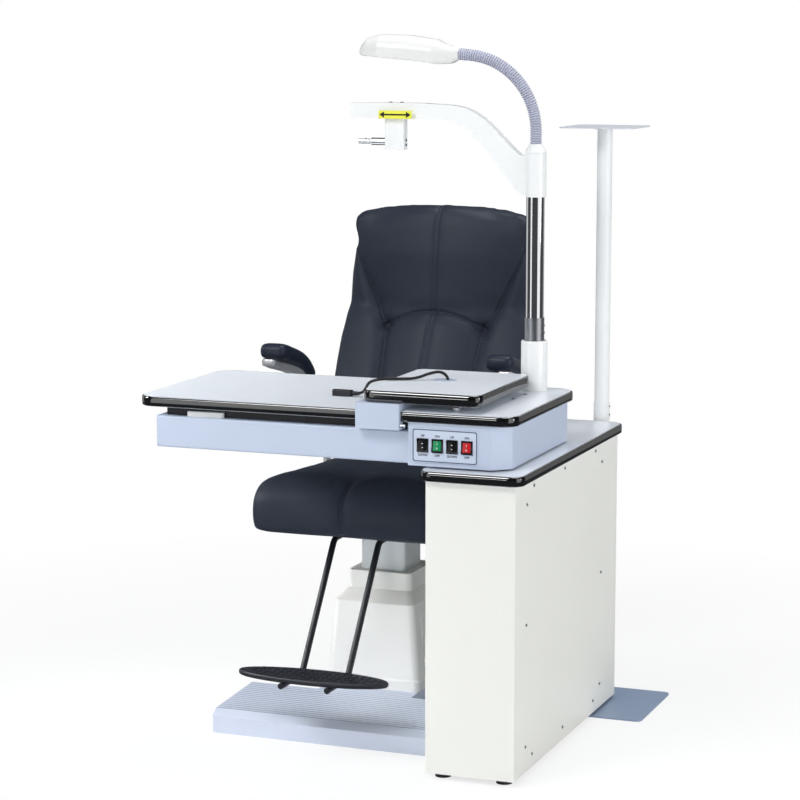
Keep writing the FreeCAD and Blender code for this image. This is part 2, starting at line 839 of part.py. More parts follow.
def back_section(height_share, half_share, front_share, seam_share):
    """One level section of the backrest cushion: bulging middle, puffed wings, flat back."""
    level = mm.back_low + mm.back_tall * height_share
    half = mm.seat_half * half_share
    seam = mm.seat_half * seam_share * (half_share / 1.05)
    front = mm.back_tall * front_share - mm.back_tall * 0.01
    thin = max(0.0, (height_share - 0.9) / 0.1) * BACK_TOP_THIN_SHARE
    rear = front + mm.back_thick * (1 - thin)
    dip = mm.back_thick * BACK_SIDE_DROP_SHARE * (1 - thin)
    wing = mm.back_thick * BACK_WING_SHARE * (1 - thin)
    side = front + dip + wing
    shoulder = (rear - side) * 0.5

    def at(x, y):
        return V(x, y, level)

    lip = (half - seam) * 0.5
    edges = [
        Part.LineSegment(at(shoulder - half, rear), at(half - shoulder, rear)).toShape(),
        Part.Arc(at(half - shoulder, rear), at(half, rear - shoulder * 0.9),
                 at(half - shoulder * 0.25, side)).toShape(),
        Part.Arc(at(half - shoulder * 0.25, side), at(seam + lip, front + dip * 0.93),
                 at(seam, front + dip)).toShape(),
        Part.Arc(at(seam, front + dip), at(0, front), at(-seam, front + dip)).toShape(),
        Part.Arc(at(-seam, front + dip), at(-seam - lip, front + dip * 0.93),
                 at(shoulder * 0.25 - half, side)).toShape(),
        Part.Arc(at(shoulder * 0.25 - half, side), at(-half, rear - shoulder * 0.9),
                 at(shoulder - half, rear)).toShape(),
    ]
    return Part.Wire(edges)


def back_rear(height_share):
    """How far behind the axis the flat back of the cushion lies at one height."""
    stations = [(each[0], each[2]) for each in BACK_STATION_SHARES]
    for (low, front_low), (high, front_high) in zip(stations, stations[1:]):
        if low <= height_share <= high:
            part = (height_share - low) / (high - low)
            share = front_low + (front_high - front_low) * part
            return mm.back_tall * (share - 0.01) + mm.back_thick
    raise ValueError("height outside the backrest")


def backrest_cushion():
    return shaped("backrest_cushion", loft([back_section(*each) for each in BACK_STATION_SHARES]))


SHELL_SPAN_SHARES = (0.01, 0.9)


def back_shell():
    """Thin moulded shell on the back of the cushion."""
    wires = []
    low, high = SHELL_SPAN_SHARES
    for share in (each[0] for each in BACK_STATION_SHARES if low < each[0] < high):
        level = mm.back_low + mm.back_tall * share
        front = back_rear(share) + mm.seat_gap
        half = mm.seat_half * 0.9 - mm.shell_inset
        wires.append(rounded_box_wire(-half, half, front, front + mm.shell_thick,
                                      mm.shell_thick * 0.3, level))
    return shaped("back_shell", loft(wires))


def back_bracket():
    """Two flat steel bars joined by a foot that lies on the seat frame."""
    low = seat_under
    thick = mm.bracket_thick
    stations = [0.03, 0.13, 0.28, 0.43]
    behind = [V(0, back_rear(s) + 2 * mm.seat_gap + mm.shell_thick,
                mm.back_low + mm.back_tall * s) for s in stations]
    foot = V(0, mm.frame_back, low)
    heel = V(0, behind[0].y + thick, low)
    near = [foot, heel] + [V(0, p.y + thick, p.z) for p in behind]
    far = [p for p in reversed(behind)]
    inner_heel = V(0, behind[0].y, low + thick)
    far += [inner_heel, V(0, mm.frame_back, low + thick)]
    outline = Part.makePolygon(near + far + [foot])
    bars = []
    for side in (-1, 1):
        start = side * mm.bracket_spread - mm.bracket_bar / 2
        bar = Part.Face(outline).extrude(V(mm.bracket_bar, 0, 0))
        bar.translate(V(start, 0, 0))
        bars.append(bar)
    tie_half = mm.bracket_spread + mm.bracket_bar / 2
    tie = Part.makeBox(2 * tie_half, mm.bracket_bar, thick,
                       V(-tie_half, mm.frame_back, low))
    return shaped("back_bracket", tie.fuse(bars).removeSplitter())


# Armrests

EYE_HEIGHT = "(" + TOP_UNDER + " + top_thick + eye_over_top)"
POST_KNEE = "(" + EYE_HEIGHT + " - knee_below_eye)"
eye_height = mm.foot_tall + mm.cabinet_tall + mm.top_thick + mm.eye_over_top
pad_top = eye_height + mm.pad_rise

# Back from the front end, and down: shares of the way to the pivot and of the fall to it
PAD_TOP_SHARES = ((0.0, 0.0), (0.14, 0.02), (0.325, 0.093), (0.68, 0.258), (0.90, 0.45),
                  (1.05, 0.68), (1.12, 0.95))


def armrest_curve(depth):
    """Points of the armrest's long curve, moved in by depth square to the curve."""
    long = mm.eye_behind + mm.pad_front
    fall = mm.pad_rise
    points = [V(0, long * back - mm.pad_front, pad_top - fall * down)
              for back, down in PAD_TOP_SHARES]
    last = len(points) - 1
    moved = []
    for number, point in enumerate(points):
        along = points[min(number + 1, last)].sub(points[max(number - 1, 0)]).normalize()
        moved.append(point.add(V(0, along.z, -along.y).multiply(depth)))
    return moved


def curved_bar(near, far, shorten, wide):
    """A bar between two inward copies of the armrest curve."""
    top = armrest_curve(near)
    low = armrest_curve(far)
    count = len(top) - shorten
    upper = Part.BSplineCurve()
    upper.interpolate(top[:count])
    lower = Part.BSplineCurve()
    lower.interpolate(low[:count])
    outline = Part.Wire([
        upper.toShape(), Part.LineSegment(top[count - 1], low[count - 1]).toShape(),
        lower.toShape(), Part.LineSegment(low[0], top[0]).toShape()])
    bar = Part.Face(outline).extrude(V(wide, 0, 0))
    bar.translate(V(-wide / 2, 0, 0))
    return bar


def armrest_pad(side, label):
    """Long padded rest that bends down at the back."""
    bar = curved_bar(0, mm.pad_thick, 1, mm.pad_wide)
    front = [edge for edge in bar.Edges if edge.BoundBox.YMax < mm.run_gap - mm.pad_front
             or edge.BoundBox.YLength < mm.pad_thick * 0.3 and edge.CenterOfMass.y < 0]
    bar = bar.makeFillet(mm.pad_corner, front)
    bar.translate(V(side * mm.arm_spread, 0, 0))
    return shaped(label, bar)


def armrest_base(side, label):
    """Cast bar under the pad that ends in an eye with the pivot pin."""
    bar = curved_bar(mm.pad_thick + mm.seat_gap, mm.pad_thick + mm.base_thick, 0,
                     mm.base_wide)
    reach = bar.BoundBox.YMin + mm.base_thick
    bar = bar.cut(Part.makeBox(mm.base_wide + 2 * mm.overrun, 2 * mm.base_thick,
                               pad_top, V(-mm.base_wide / 2 - mm.overrun,
                                             reach - 2 * mm.base_thick, 0)))
    bar.translate(V(mm.arm_spread - mm.base_inward, 0, 0))
    eye_start = mm.post_inside + mm.post_thick + mm.seat_gap
    eye_end = mm.arm_spread - mm.base_inward + mm.base_wide / 2
    eye = Part.makeCylinder(mm.eye_across / 2, eye_end - eye_start,
                            V(eye_start, mm.eye_behind, eye_height), V(1, 0, 0))
    pin = Part.makeCylinder(mm.post_pin / 2, eye_end - mm.post_inside + mm.overrun,
                            V(mm.post_inside - mm.overrun, mm.eye_behind, eye_height),
                            V(1, 0, 0))
    base = bar.fuse([eye, pin]).removeSplitter()
    if side < 0:
        base = base.mirror(V(0, 0, 0), V(1, 0, 0))
    return shaped(label, base)


def armrest_post(label, side):
    """Flat bent upright with a foot under the seat frame and a bored round head."""
    sign = "-" if side < 0 else ""
    start = "post_inside" if side > 0 else "-(post_inside + post_thick)"
    front = "(post_behind - post_wide / 2)"
    rear = "(post_behind + post_wide / 2)"
    body = slab(label, [
        (front, SEAT_UNDER), (rear, SEAT_UNDER), (rear, POST_KNEE),
        ("eye_behind + post_wide * 0.5", EYE_HEIGHT),
        ("eye_behind - post_wide * 0.5", EYE_HEIGHT), (front, POST_KNEE)],
        "post_thick", role="YZ_Plane", level=start)
    head = new_sketch(body, "YZ_Plane", start)
    draw_circle(head, "post_wide", "eye_behind", EYE_HEIGHT)
    add_pad(body, head, "post_thick")
    foot = new_sketch(body, "XZ_Plane", "-" + rear)
    near = f"{sign}(frame_half - frame_rail)"
    far = f"{sign}(post_inside + post_thick)"
    draw_outline(foot, box_outline(near, far, SEAT_UNDER + " - post_thick", SEAT_UNDER))
    add_pad(body, foot, "post_wide")
    tongue = new_sketch(body, "XZ_Plane", "-" + rear)
    draw_outline(tongue, box_outline(near, f"{sign}frame_half",
                                     SEAT_UNDER + " - post_thick", SEAT_UNDER))
    add_pad(body, tongue, "post_behind + post_wide / 2 - frame_back + frame_rail")
    hole = new_sketch(body, "YZ_Plane", f"{start} - overrun")
    draw_circle(hole, "post_pin + 2 * run_gap", "eye_behind", EYE_HEIGHT)
    add_pocket(body, hole, "post_thick + 2 * overrun", back=True)
    return body


# Footrest

def footrest_rods():
    """Two bent rods under the seat that carry the footrest plate."""
    high = seat_under - mm.rod_thick / 2 - mm.seat_gap
    low = mm.tread_under - mm.rod_thick / 2 - mm.seat_gap
    rods = []
    for side in (-1, 1):
        x = side * mm.rod_spread
        points = [V(x, -mm.rod_back, high), V(x, -mm.rod_turn, high), V(x, -mm.rod_knee, low),
                  V(x, -mm.rod_tip, low)]
        rod, length = tube_along(points, [mm.rod_bend] * 2, mm.rod_thick)
        rods.append(rod)
    return shaped("footrest_rods", Part.makeCompound(rods))


def footrest_plate():
    """Oval tread with a broken edge."""
    oval = Part.Ellipse(V(0, 0, 0), mm.tread_long / 2, mm.tread_deep / 2)
    plate = Part.Face(Part.Wire(oval.toShape())).extrude(V(0, 0, mm.tread_thick))
    rims = [edge for edge in plate.Edges if edge.BoundBox.ZLength < mm.run_gap]
    plate = plate.makeChamfer(mm.tread_edge, rims)
    plate.translate(V(0, -mm.tread_centre, mm.tread_under))
    return shaped("footrest_plate", plate)


# Cabinet

CABINET_RIGHT = "(cabinet_left + cabinet_wide)"
CABINET_BACK = "(cabinet_deep - cabinet_front)"


def cabinet_body():
    """Sheet cabinet, open at the top and on the right, with lips for the side panel."""
    body = slab("cabinet_body", box_outline("cabinet_left", CABINET_RIGHT + " - cabinet_wall",
                                            "-cabinet_front", CABINET_BACK),
                "cabinet_tall", level="foot_tall")
    left = mm.cabinet_left
    round_edges(body, "cabinet_corner", V(0, 0, 1), lambda middle: abs(middle.x - left) < 1)
    cut(body, box_outline("cabinet_left + cabinet_wall",
                          CABINET_RIGHT + " - 2 * cabinet_wall",
                          "cabinet_wall - cabinet_front", CABINET_BACK + " - cabinet_wall"),
        "cabinet_tall", level="foot_tall + cabinet_wall", back=True)
    cut(body, box_outline("panel_lip - cabinet_front", CABINET_BACK + " - panel_lip",
                          "foot_tall + panel_lip", "foot_tall + cabinet_tall - panel_lip"),
        "2 * cabinet_wall + overrun", role="YZ_Plane",
        level=CABINET_RIGHT + " - 2 * cabinet_wall - overrun", back=True)
    return body


def cabinet_side_panel():
    """Flat panel screwed to the open right side."""
    body = slab("cabinet_side_panel", box_outline("-cabinet_front", CABINET_BACK, "foot_tall",
                                                  TOP_UNDER), "cabinet_wall", role="YZ_Plane",
                level=CABINET_RIGHT + " - cabinet_wall")
    return body


SCREW_ROW_SHARES = (0.16, 0.45, 0.76)
SCREW_COLUMN_SHARES = (0.09, 0.51, 0.92)
SCREW_SIDE_SHARES = (0.10, 0.83)
SCREW_LEVEL_SHARES = (0.047, 0.973)


def cabinet_screws():
    """Round-headed screws round the side panel."""
    screws = []
    places = [(along, up) for along in SCREW_ROW_SHARES for up in SCREW_LEVEL_SHARES]
    places += [(along, up) for along in SCREW_SIDE_SHARES for up in SCREW_COLUMN_SHARES]
    right = mm.cabinet_left + mm.cabinet_wide
    for along, up in places:
        at = V(right, along * mm.cabinet_deep - mm.cabinet_front,
               mm.foot_tall + up * mm.cabinet_tall)
        screws.append(Part.makeCylinder(mm.screw_across / 2, mm.screw_head, at, V(1, 0, 0)))
    return shaped("cabinet_screws", Part.makeCompound(screws))


def cabinet_feet():
    """Round feet; the rear pair stands on the floor plate."""
    feet = []
    radius = mm.foot_across / 2
    inset = mm.foot_inset
    rear = mm.cabinet_deep - mm.cabinet_front - inset
    for x in (mm.cabinet_left + inset, mm.cabinet_left + mm.cabinet_wide - inset):
        for y, low in ((inset - mm.cabinet_front, 0.0), (rear, mm.plate_thick)):
            foot = Part.makeCone(radius, radius * 0.92, mm.foot_tall - low, V(x, y, low))
            feet.append(foot)
    return shaped("cabinet_feet", Part.makeCompound(feet))


def edged_board(label, edging_label, sides, thick, level, corner, at=()):
    """A laminate board with a rounded edging all round; returns both bodies."""
    left, right, front, back = sides
    low = [f"({left}) + edging", f"({right}) - edging", f"({front}) + edging",
           f"({back}) - edging"]
    board = slab(label, box_outline(*low), thick, level=level)
    round_edges(board, f"{corner} - edging", V(0, 0, 1))
    blank = slab(edging_label + "_blank", box_outline(left, right, front, back), thick,
                 level=level)
    round_edges(blank, corner, V(0, 0, 1))
    bounds = blank.Shape.BoundBox
    for edge_level in (bounds.ZMin, bounds.ZMax):
        round_rim(blank, "edging_round", edge_level)
    core = slab(edging_label + "_core", box_outline(*low), f"{thick} + 2 * overrun",
                level=f"{level} - overrun")
    round_edges(core, f"{corner} - edging", V(0, 0, 1))
    for item in (board, blank, core):
        place(item, *at)
    rim = doc.addObject("Part::Cut", edging_label)
    rim.Label = edging_label
    rim.Base = blank
    rim.Tool = core
    return board, rim


def worktop():
    sides = ("cabinet_left - top_over_left", CABINET_RIGHT + " + top_over_right",
             "-cabinet_front - top_over_front", CABINET_BACK)
    board, rim = edged_board("worktop", "worktop_edging", sides, "top_thick", TOP_UNDER,
                             "top_corner")
    bore(board, "guide_across", "top_thick + 2 * overrun", AXIS_X, AXIS_Y,
         level=TOP_UNDER + " - overrun")
    return board, rim


# Table lift

GUIDE_TALL = "(cabinet_tall - cabinet_wall - guide_below_top)"
SPINDLE_LOW = "(" + TABLE_UNDER + " - spindle_down)"


def table_lift_guide():
    """Fixed guide tube on a flange inside the cabinet."""
    body = turned("table_lift_guide", [
        ("(lift_across + 2 * run_gap) / 2", "0"), ("guide_flange / 2", "0"),
        ("guide_flange / 2", "guide_flange_thick"), ("guide_across / 2", "guide_flange_thick"),
        ("guide_across / 2", GUIDE_TALL), ("(lift_across + 2 * run_gap) / 2", GUIDE_TALL)])
    return place(body, AXIS_X, AXIS_Y, "foot_tall + cabinet_wall")


def lift_column():
    """Round column with a flange that carries the turret housing."""
    top = TABLE_UNDER
    body = turned("lift_column", [
        ("lift_bore / 2", "lift_low"), ("lift_across / 2", "lift_low"),
        ("lift_across / 2", top + " - lift_flange_thick"),
        ("lift_flange / 2", top + " - lift_flange_thick"), ("lift_flange / 2", top),
        ("spindle_across / 2 + run_gap", top),
        ("spindle_across / 2 + run_gap", top + " - lift_flange_thick - spindle_collar"),
        ("lift_bore / 2", top + " - lift_flange_thick - spindle_collar")])
    return place(body, AXIS_X, AXIS_Y)


def spindle_tube():
    """Tube that stands in the lift column, bored for the pole."""
    top = BOARD_UNDER + " + board_thick + sleeve_tall"
    body = turned("spindle_tube", [
        ("pole_across / 2 + run_gap", SPINDLE_LOW),
        ("lift_bore / 2 - run_gap", SPINDLE_LOW),
        ("lift_bore / 2 - run_gap", SPINDLE_LOW + " + spindle_collar"),
        ("spindle_across / 2", SPINDLE_LOW + " + spindle_collar"),
        ("spindle_across / 2", top), ("pole_across / 2 + run_gap", top)])
    return place(body, AXIS_X, AXIS_Y)


def pole_sleeve():
    """White sleeve that stands on the spindle above the board."""
    low = "seat_gap"
    body = turned("pole_sleeve", [
        ("spindle_across / 2 + run_gap", low), ("sleeve_across / 2", low),
        ("sleeve_across / 2", "sleeve_tall - sleeve_round"),
        ("sleeve_across / 2 - sleeve_round * 0.3", "sleeve_tall - sleeve_round * 0.3"),
        ("sleeve_across / 2 - sleeve_round", "sleeve_tall"),
        ("spindle_across / 2 + run_gap", "sleeve_tall")])
    return place(body, AXIS_X, AXIS_Y, BOARD_UNDER + " + board_thick")


def clamp_collar():
    """Thin chrome collar on top of the sleeve."""
    body = turned("clamp_collar", tube_profile("pole_across + 2 * run_gap", "collar_across",
                                               "0", "collar_tall"))
    return place(body, AXIS_X, AXIS_Y, BOARD_UNDER + " + board_thick + sleeve_tall")


# Turret, beam and board, drawn about the swing axis

def turret_housing():
    """Hollow sheet housing with one chamfered corner and a bearing hub round the spindle."""
    body = slab("turret_housing", [
        ("-housing_left", "-housing_front"),
        ("housing_right - housing_chamfer", "-housing_front"),
        ("housing_right", "housing_chamfer - housing_front"),
        ("housing_right", "housing_back"), ("-housing_left", "housing_back")],
        "housing_tall")
    round_edges(body, "housing_round", V(0, 0, 1))
    wall = "housing_wall"
    cut(body, [
        ("housing_wall - housing_left", "housing_wall - housing_front"),
        ("housing_right - housing_chamfer - housing_wall / 2", "housing_wall - housing_front"),
        ("housing_right - housing_wall", "housing_chamfer - housing_front + housing_wall / 2"),
        ("housing_right - housing_wall", "housing_back - housing_wall"),
        ("housing_wall - housing_left", "housing_back - housing_wall")],
        "housing_tall", level=wall, back=True)
    hub = new_sketch(body, "XY_Plane")
    draw_circle(hub, "hub_across")
    add_pad(body, hub, "housing_tall")
    bore(body, "spindle_across + 2 * run_gap", "housing_tall + 2 * overrun", level="-overrun")
    window_low = "(switch_low + (switch_tall - rocker_tall) / 2 - cheek_thick)"
    window_high = "(switch_low + (switch_tall + rocker_tall) / 2 + cheek_thick)"
    left = "(-switch_left + (switch_wide - 3 * rocker_pitch - rocker_wide) / 2 - 2 * cheek_thick)"
    right = "(-switch_left + (switch_wide + 3 * rocker_pitch + rocker_wide) / 2"
    right += " + 2 * cheek_thick)"
    cut(body, box_outline(left, right, window_low, window_high), "housing_wall + 2 * overrun",
        role="XZ_Plane", level="housing_front - housing_wall - overrun", back=True)
    return place(body, AXIS_X, AXIS_Y, TABLE_UNDER)


def table_beam():
    """Closed box beam that runs left from the housing."""
    left = "(-housing_left - beam_long)"
    body = slab("table_beam", box_outline("-beam_front", "beam_deep - beam_front",
                                          "beam_rise", "beam_rise + beam_tall"),
                "beam_long", role="YZ_Plane", level=left)
    round_edges(body, "beam_round", V(1, 0, 0))
    cut(body, box_outline("beam_wall - beam_front", "beam_deep - beam_front - beam_wall",
                          "beam_rise + beam_wall", "beam_rise + beam_tall - beam_wall"),
        "beam_long", role="YZ_Plane", level=left + " + beam_wall", back=True)
    return place(body, AXIS_X, AXIS_Y, TABLE_UNDER)


def table_rail():
    """Black slotted rail between the beam and the board."""
    left = "(-housing_left - beam_long + rail_start)"
    body = slab("table_rail", box_outline("-rail_front", "rail_deep - rail_front",
                                          "beam_rise + beam_tall", "housing_tall"),
                "beam_long - rail_start", role="YZ_Plane", level=left)
    return place(body, AXIS_X, AXIS_Y, TABLE_UNDER)


def table_board():
    """Long swinging board with a hole for the spindle and two shallow slots."""
    sides = ("-board_left", "board_right", "-board_front", "board_back")
    board, rim = edged_board("table_board", "table_edging", sides, "board_thick", "0",
                             "board_corner", (AXIS_X, AXIS_Y, BOARD_UNDER))
    bore(board, "spindle_across + 2 * overrun", "board_thick + 2 * overrun", level="-overrun")
    for number in range(2):
        front = f"(-slot_front + slot_pitch * {number})"
        cut(board, box_outline("-slot_long / 2", "slot_long / 2", front,
                               front + " + slot_wide"), "slot_depth", level="board_thick")
    return board, rim


def brake_lever():
    """Flat white lever in front of the rail, on a short upright pin."""
    body = slab("brake_lever", [
        ("-lever_long", "-lever_deep * 0.8"), ("-lever_deep / 2", "-lever_deep / 2"),
        ("lever_deep / 2", "-lever_deep / 2"), ("lever_deep / 2", "lever_deep / 2"),
        ("-lever_deep / 2", "lever_deep / 2"), ("-lever_long", "lever_deep * 0.2")],
        "lever_tall")
    round_edges(body, "lever_deep / 2 - run_gap", V(0, 0, 1), lambda middle: middle.x > 0)
    round_edges(body, "lever_deep * 0.25", V(0, 0, 1),
                lambda middle: middle.x < -mm.lever_deep * 0.4)
    pin = new_sketch(body, "XY_Plane", "-lever_pin_long")
    draw_circle(pin, "lever_pin")
    add_pad(body, pin, "lever_tall + lever_pin_long")
    return body


# Switches

def rocker_axis():
    """Height of the rockers' axle above the underside of the housing."""
    return "(switch_low + switch_tall / 2)"


def switch_plate():
    """Dark front plate with four windows, an axle and its cheeks behind."""
    body = slab("switch_plate", box_outline("-switch_left", "switch_wide - switch_left",
                                            "switch_low", "switch_low + switch_tall"),
                "switch_thick", role="XZ_Plane", level="housing_front")
    middle = "(switch_wide / 2 - switch_left)"
    half = "(rocker_wide / 2)"
    for number in range(4):
        centre = f"({middle} + rocker_pitch * {number - 1.5})"
        cut(body, box_outline(f"{centre} - {half}", f"{centre} + {half}",
                              f"{rocker_axis()} - rocker_tall / 2",
                              f"{rocker_axis()} + rocker_tall / 2"),
            "switch_thick + 2 * overrun", role="XZ_Plane", level="housing_front - overrun",
            back=True)
    for number in range(5):
        centre = f"({middle} + rocker_pitch * {number - 2})"
        cheek = new_sketch(body, "XZ_Plane", "housing_front")
        draw_outline(cheek, box_outline(f"{centre} - cheek_thick / 2",
                                        f"{centre} + cheek_thick / 2",
                                        f"{rocker_axis()} - rocker_axle",
                                        f"{rocker_axis()} + rocker_axle"))
        add_pad(body, cheek, "rocker_axle_back + rocker_axle", back=True)
    axle = new_sketch(body, "YZ_Plane", f"{middle} - 2 * rocker_pitch")
    draw_circle(axle, "rocker_axle", "rocker_axle_back - housing_front", rocker_axis())
    add_pad(body, axle, "4 * rocker_pitch")
    return place(body, AXIS_X, AXIS_Y, TABLE_UNDER)


def rocker(number, label, tilt):
    """Rocker with a shallow dished front, bored for the axle and drawn about it."""
    half = "(rocker_tall / 2 - rocker_gap)"
    tip = "(rocker_tall / 2 - rocker_gap - rocker_taper)"
    front = "(-rocker_axle_back - switch_thick - rocker_proud)"
    body = slab(label, [
        (front, "-" + tip), (front + " + rocker_dip", "0"), (front, tip),
        ("-rocker_axle_back + rocker_axle", half),
        ("rocker_deep - rocker_axle_back", "rocker_tall * 0.22"),
        ("rocker_deep - rocker_axle_back", "-rocker_tall * 0.22"),
        ("-rocker_axle_back + rocker_axle", "-" + half)],
        "rocker_wide - 2 * seat_gap", role="YZ_Plane", both_ways=True)
    sketch = new_sketch(body, "YZ_Plane")
    draw_circle(sketch, "rocker_axle + 2 * run_gap")
    add_pocket(body, sketch, "rocker_wide", both_ways=True)
    body.Placement.Rotation = FreeCAD.Rotation(V(1, 0, 0), tilt)
    centre = f"(switch_wide / 2 - switch_left + rocker_pitch * {number - 1.5})"
    return place(body, AXIS_X + " + " + centre,
                 AXIS_Y + " - housing_front + rocker_axle_back",
                 TABLE_UNDER + " + " + rocker_axis())


# Instrument platform, drawn about the swing axis

DECK_UNDER = "(board_thick + deck_rise)"


def instrument_platform():
    sides = ("-deck_left", "deck_wide - deck_left", "-deck_front", "deck_deep - deck_front")
    board, rim = edged_board("instrument_platform", "platform_edging", sides, "deck_thick",
                             DECK_UNDER, "deck_corner", (AXIS_X, AXIS_Y, BOARD_UNDER))
    bore(board, "grommet_hole + 2 * run_gap", "deck_thick + 2 * overrun",
         "-grommet_right", "-grommet_front", level=DECK_UNDER + " - overrun")
    return board, rim


def carriage_block():
    """Block that slides along the front of the board, with a lip under it."""
    inner = "(-board_front - seat_gap)"
    outer = "(-board_front - block_reach)"
    body = slab("carriage_block", [
        (outer, "-block_drop"), (inner + " + block_lip", "-block_drop"),
        (inner + " + block_lip", "-seat_gap"), (inner, "-seat_gap"),
        (inner, "board_thick + seat_gap"), (inner + " + block_arm", "board_thick + seat_gap"),
        (inner + " + block_arm", DECK_UNDER), (outer, DECK_UNDER)],
        "block_wide", role="YZ_Plane", level="-block_left")
    front = -mm.board_front - mm.block_reach
    round_edges(body, "block_reach * 0.25", V(0, 0, 1),
                lambda middle: abs(middle.y - front) < mm.run_gap)
    sketch = new_sketch(body, "YZ_Plane", "block_wide - block_left + overrun")
    draw_circle(sketch, "knob_stem + 2 * run_gap", "-board_front - block_reach / 2 + edging",
                "-block_drop / 2")
    add_pocket(body, sketch, "knob_long + overrun")
    return place(body, AXIS_X, AXIS_Y, BOARD_UNDER)


def carriage_lock_screw():
    """Small knurled screw in the side of the block."""
    body = turned("carriage_lock_screw", [
        ("-knob_long", "0"), ("-knob_long", "knob_stem / 2"), ("seat_gap", "knob_stem / 2"),
        ("seat_gap", "knob_across / 2"), ("knob_long", "knob_across / 2"), ("knob_long", "0")],
        along="H_Axis")
    return place(body, AXIS_X + " - block_left + block_wide",
                 AXIS_Y + " - board_front - block_reach / 2 + edging",
                 BOARD_UNDER + " - block_drop / 2")


def platform_rollers():
    """Two small rollers, each in a fork under the platform."""
    rollers = []
    top = mm.board_thick + mm.deck_rise
    axle_level = mm.board_thick + mm.seat_gap + mm.roller_across / 2
    half = mm.roller_wide / 2
    for number in range(2):
        front = mm.roller_pitch * number - mm.roller_front
        at = V(-mm.roller_right, front - half, axle_level)
        wheel = Part.makeCylinder(mm.roller_across / 2, mm.roller_wide, at, V(0, 1, 0))
        reach = mm.roller_cheek + mm.seat_gap
        axle = Part.makeCylinder(mm.roller_axle / 2, mm.roller_wide + 2 * reach,
                                 at.sub(V(0, reach, 0)), V(0, 1, 0))
        fork = []
        for y in (front - half - reach, front + half + mm.seat_gap):
            corner = V(-mm.roller_right - mm.roller_axle, y, axle_level - mm.roller_axle / 2)
            fork.append(Part.makeBox(2 * mm.roller_axle, mm.roller_cheek, top - corner.z, corner))
        rollers.append(wheel.fuse([axle] + fork).removeSplitter())
    piece = shaped("platform_rollers", Part.makeCompound(rollers))
    piece.Placement.Base = V(axis_x, axis_y, board_under)
    return piece


def cable_grommet():
    """Flanged ring in the platform with a half cover that leaves a slot for the cable."""
    body = turned("cable_grommet", [
        ("grommet_hole / 2 - grommet_lip", "-deck_thick * 0.6"),
        ("grommet_hole / 2", "-deck_thick * 0.6"), ("grommet_hole / 2", "0"),
        ("grommet_across / 2", "0"), ("grommet_across / 2 - grommet_lip * 0.4", "grommet_lip"),
        ("0", "grommet_lip"), ("0", "-grommet_lip"),
        ("grommet_hole / 2 - grommet_lip", "-grommet_lip")])
    cut(body, box_outline("0", "grommet_hole / 2 - grommet_lip", "-grommet_slot / 2",
                          "grommet_slot / 2"), "3 * grommet_lip + overrun",
        level="-2 * grommet_lip", back=True)
    return place(body, AXIS_X + " - grommet_right", AXIS_Y + " - grommet_front",
                 BOARD_UNDER + " + board_thick + deck_rise + deck_thick")


# The cable's route, chosen by hand over the platform and down to the board
CABLE_POINTS = (
    V(310, -420, 883), V(310, -420, 907), V(293, -420, 924), V(267, -428, 920.5),
    V(236, -443, 907.2), V(203, -461, 907.2), V(162, -482, 908), V(133, -484, 900),
    V(120, -474, 882), V(104, -458.5, 865.8), V(78, -458.5, 865.8),
)


def cable_and_plug():
    """The cable's tube and the connector that lies on the board."""
    runs = [b.sub(a).Length for a, b in zip(CABLE_POINTS, CABLE_POINTS[1:])]
    radii = []
    for i in range(1, len(CABLE_POINTS) - 1):
        into = CABLE_POINTS[i].sub(CABLE_POINTS[i - 1])
        out = CABLE_POINTS[i + 1].sub(CABLE_POINTS[i])
        shorter = min(runs[i - 1], runs[i])
        radii.append(0.45 * shorter / math.tan(into.getAngle(out) / 2))
    tube, length = tube_along(CABLE_POINTS, radii, mm.cable_across)
    print("cable radii", [round(each, 1) for each in radii], "length", round(length, 1))
    section = math.pi * (mm.cable_across / 2) ** 2
    print("cable volume / section x length", round(tube.Volume / (section * length), 4))
    cable = shaped("cable", tube)
    end = CABLE_POINTS[-1]
    box = Part.makeBox(mm.plug_long, mm.plug_wide, mm.plug_tall,
                       V(end.x - mm.plug_long, end.y - mm.plug_wide / 2,
                         end.z - mm.plug_tall / 2))
    long_edges = [e for e in box.Edges if e.BoundBox.XLength > mm.plug_wide]
    plug = shaped("cable_connector", box.makeFillet(mm.plug_round, long_edges))
    return cable, plug


# Pole, arm and lamp

def chrome_pole():
    """Pole that slides in the spindle, with a spigot for the arm on top."""
    top = "(sleeve_tall + collar_tall + pole_show)"
    body = turned("chrome_pole", [
        ("0", "-pole_low"), ("pole_across / 2", "-pole_low"), ("pole_across / 2", top),
        ("spigot_across / 2", top), ("spigot_across / 2", top + " + spigot_long"),
        ("0", top + " + spigot_long")])
    return place(body, AXIS_X, AXIS_Y, BOARD_UNDER + " + board_thick")


ARM_TOP_SHARES = ((1.0, 0.088), (0.81, 0.095), (0.592, 0.095), (0.474, 0.08), (0.40, 0.06),
                  (0.317, -0.01), (0.258, -0.105), (0.074, -0.51))
ARM_LOW_SHARES = ((0.066, -0.98), (0.14, -0.80), (0.22, -0.555), (0.302, -0.34),
                  (0.383, -0.175), (0.436, -0.12), (0.50, -0.095), (0.81, -0.095),
                  (1.0, -0.088))


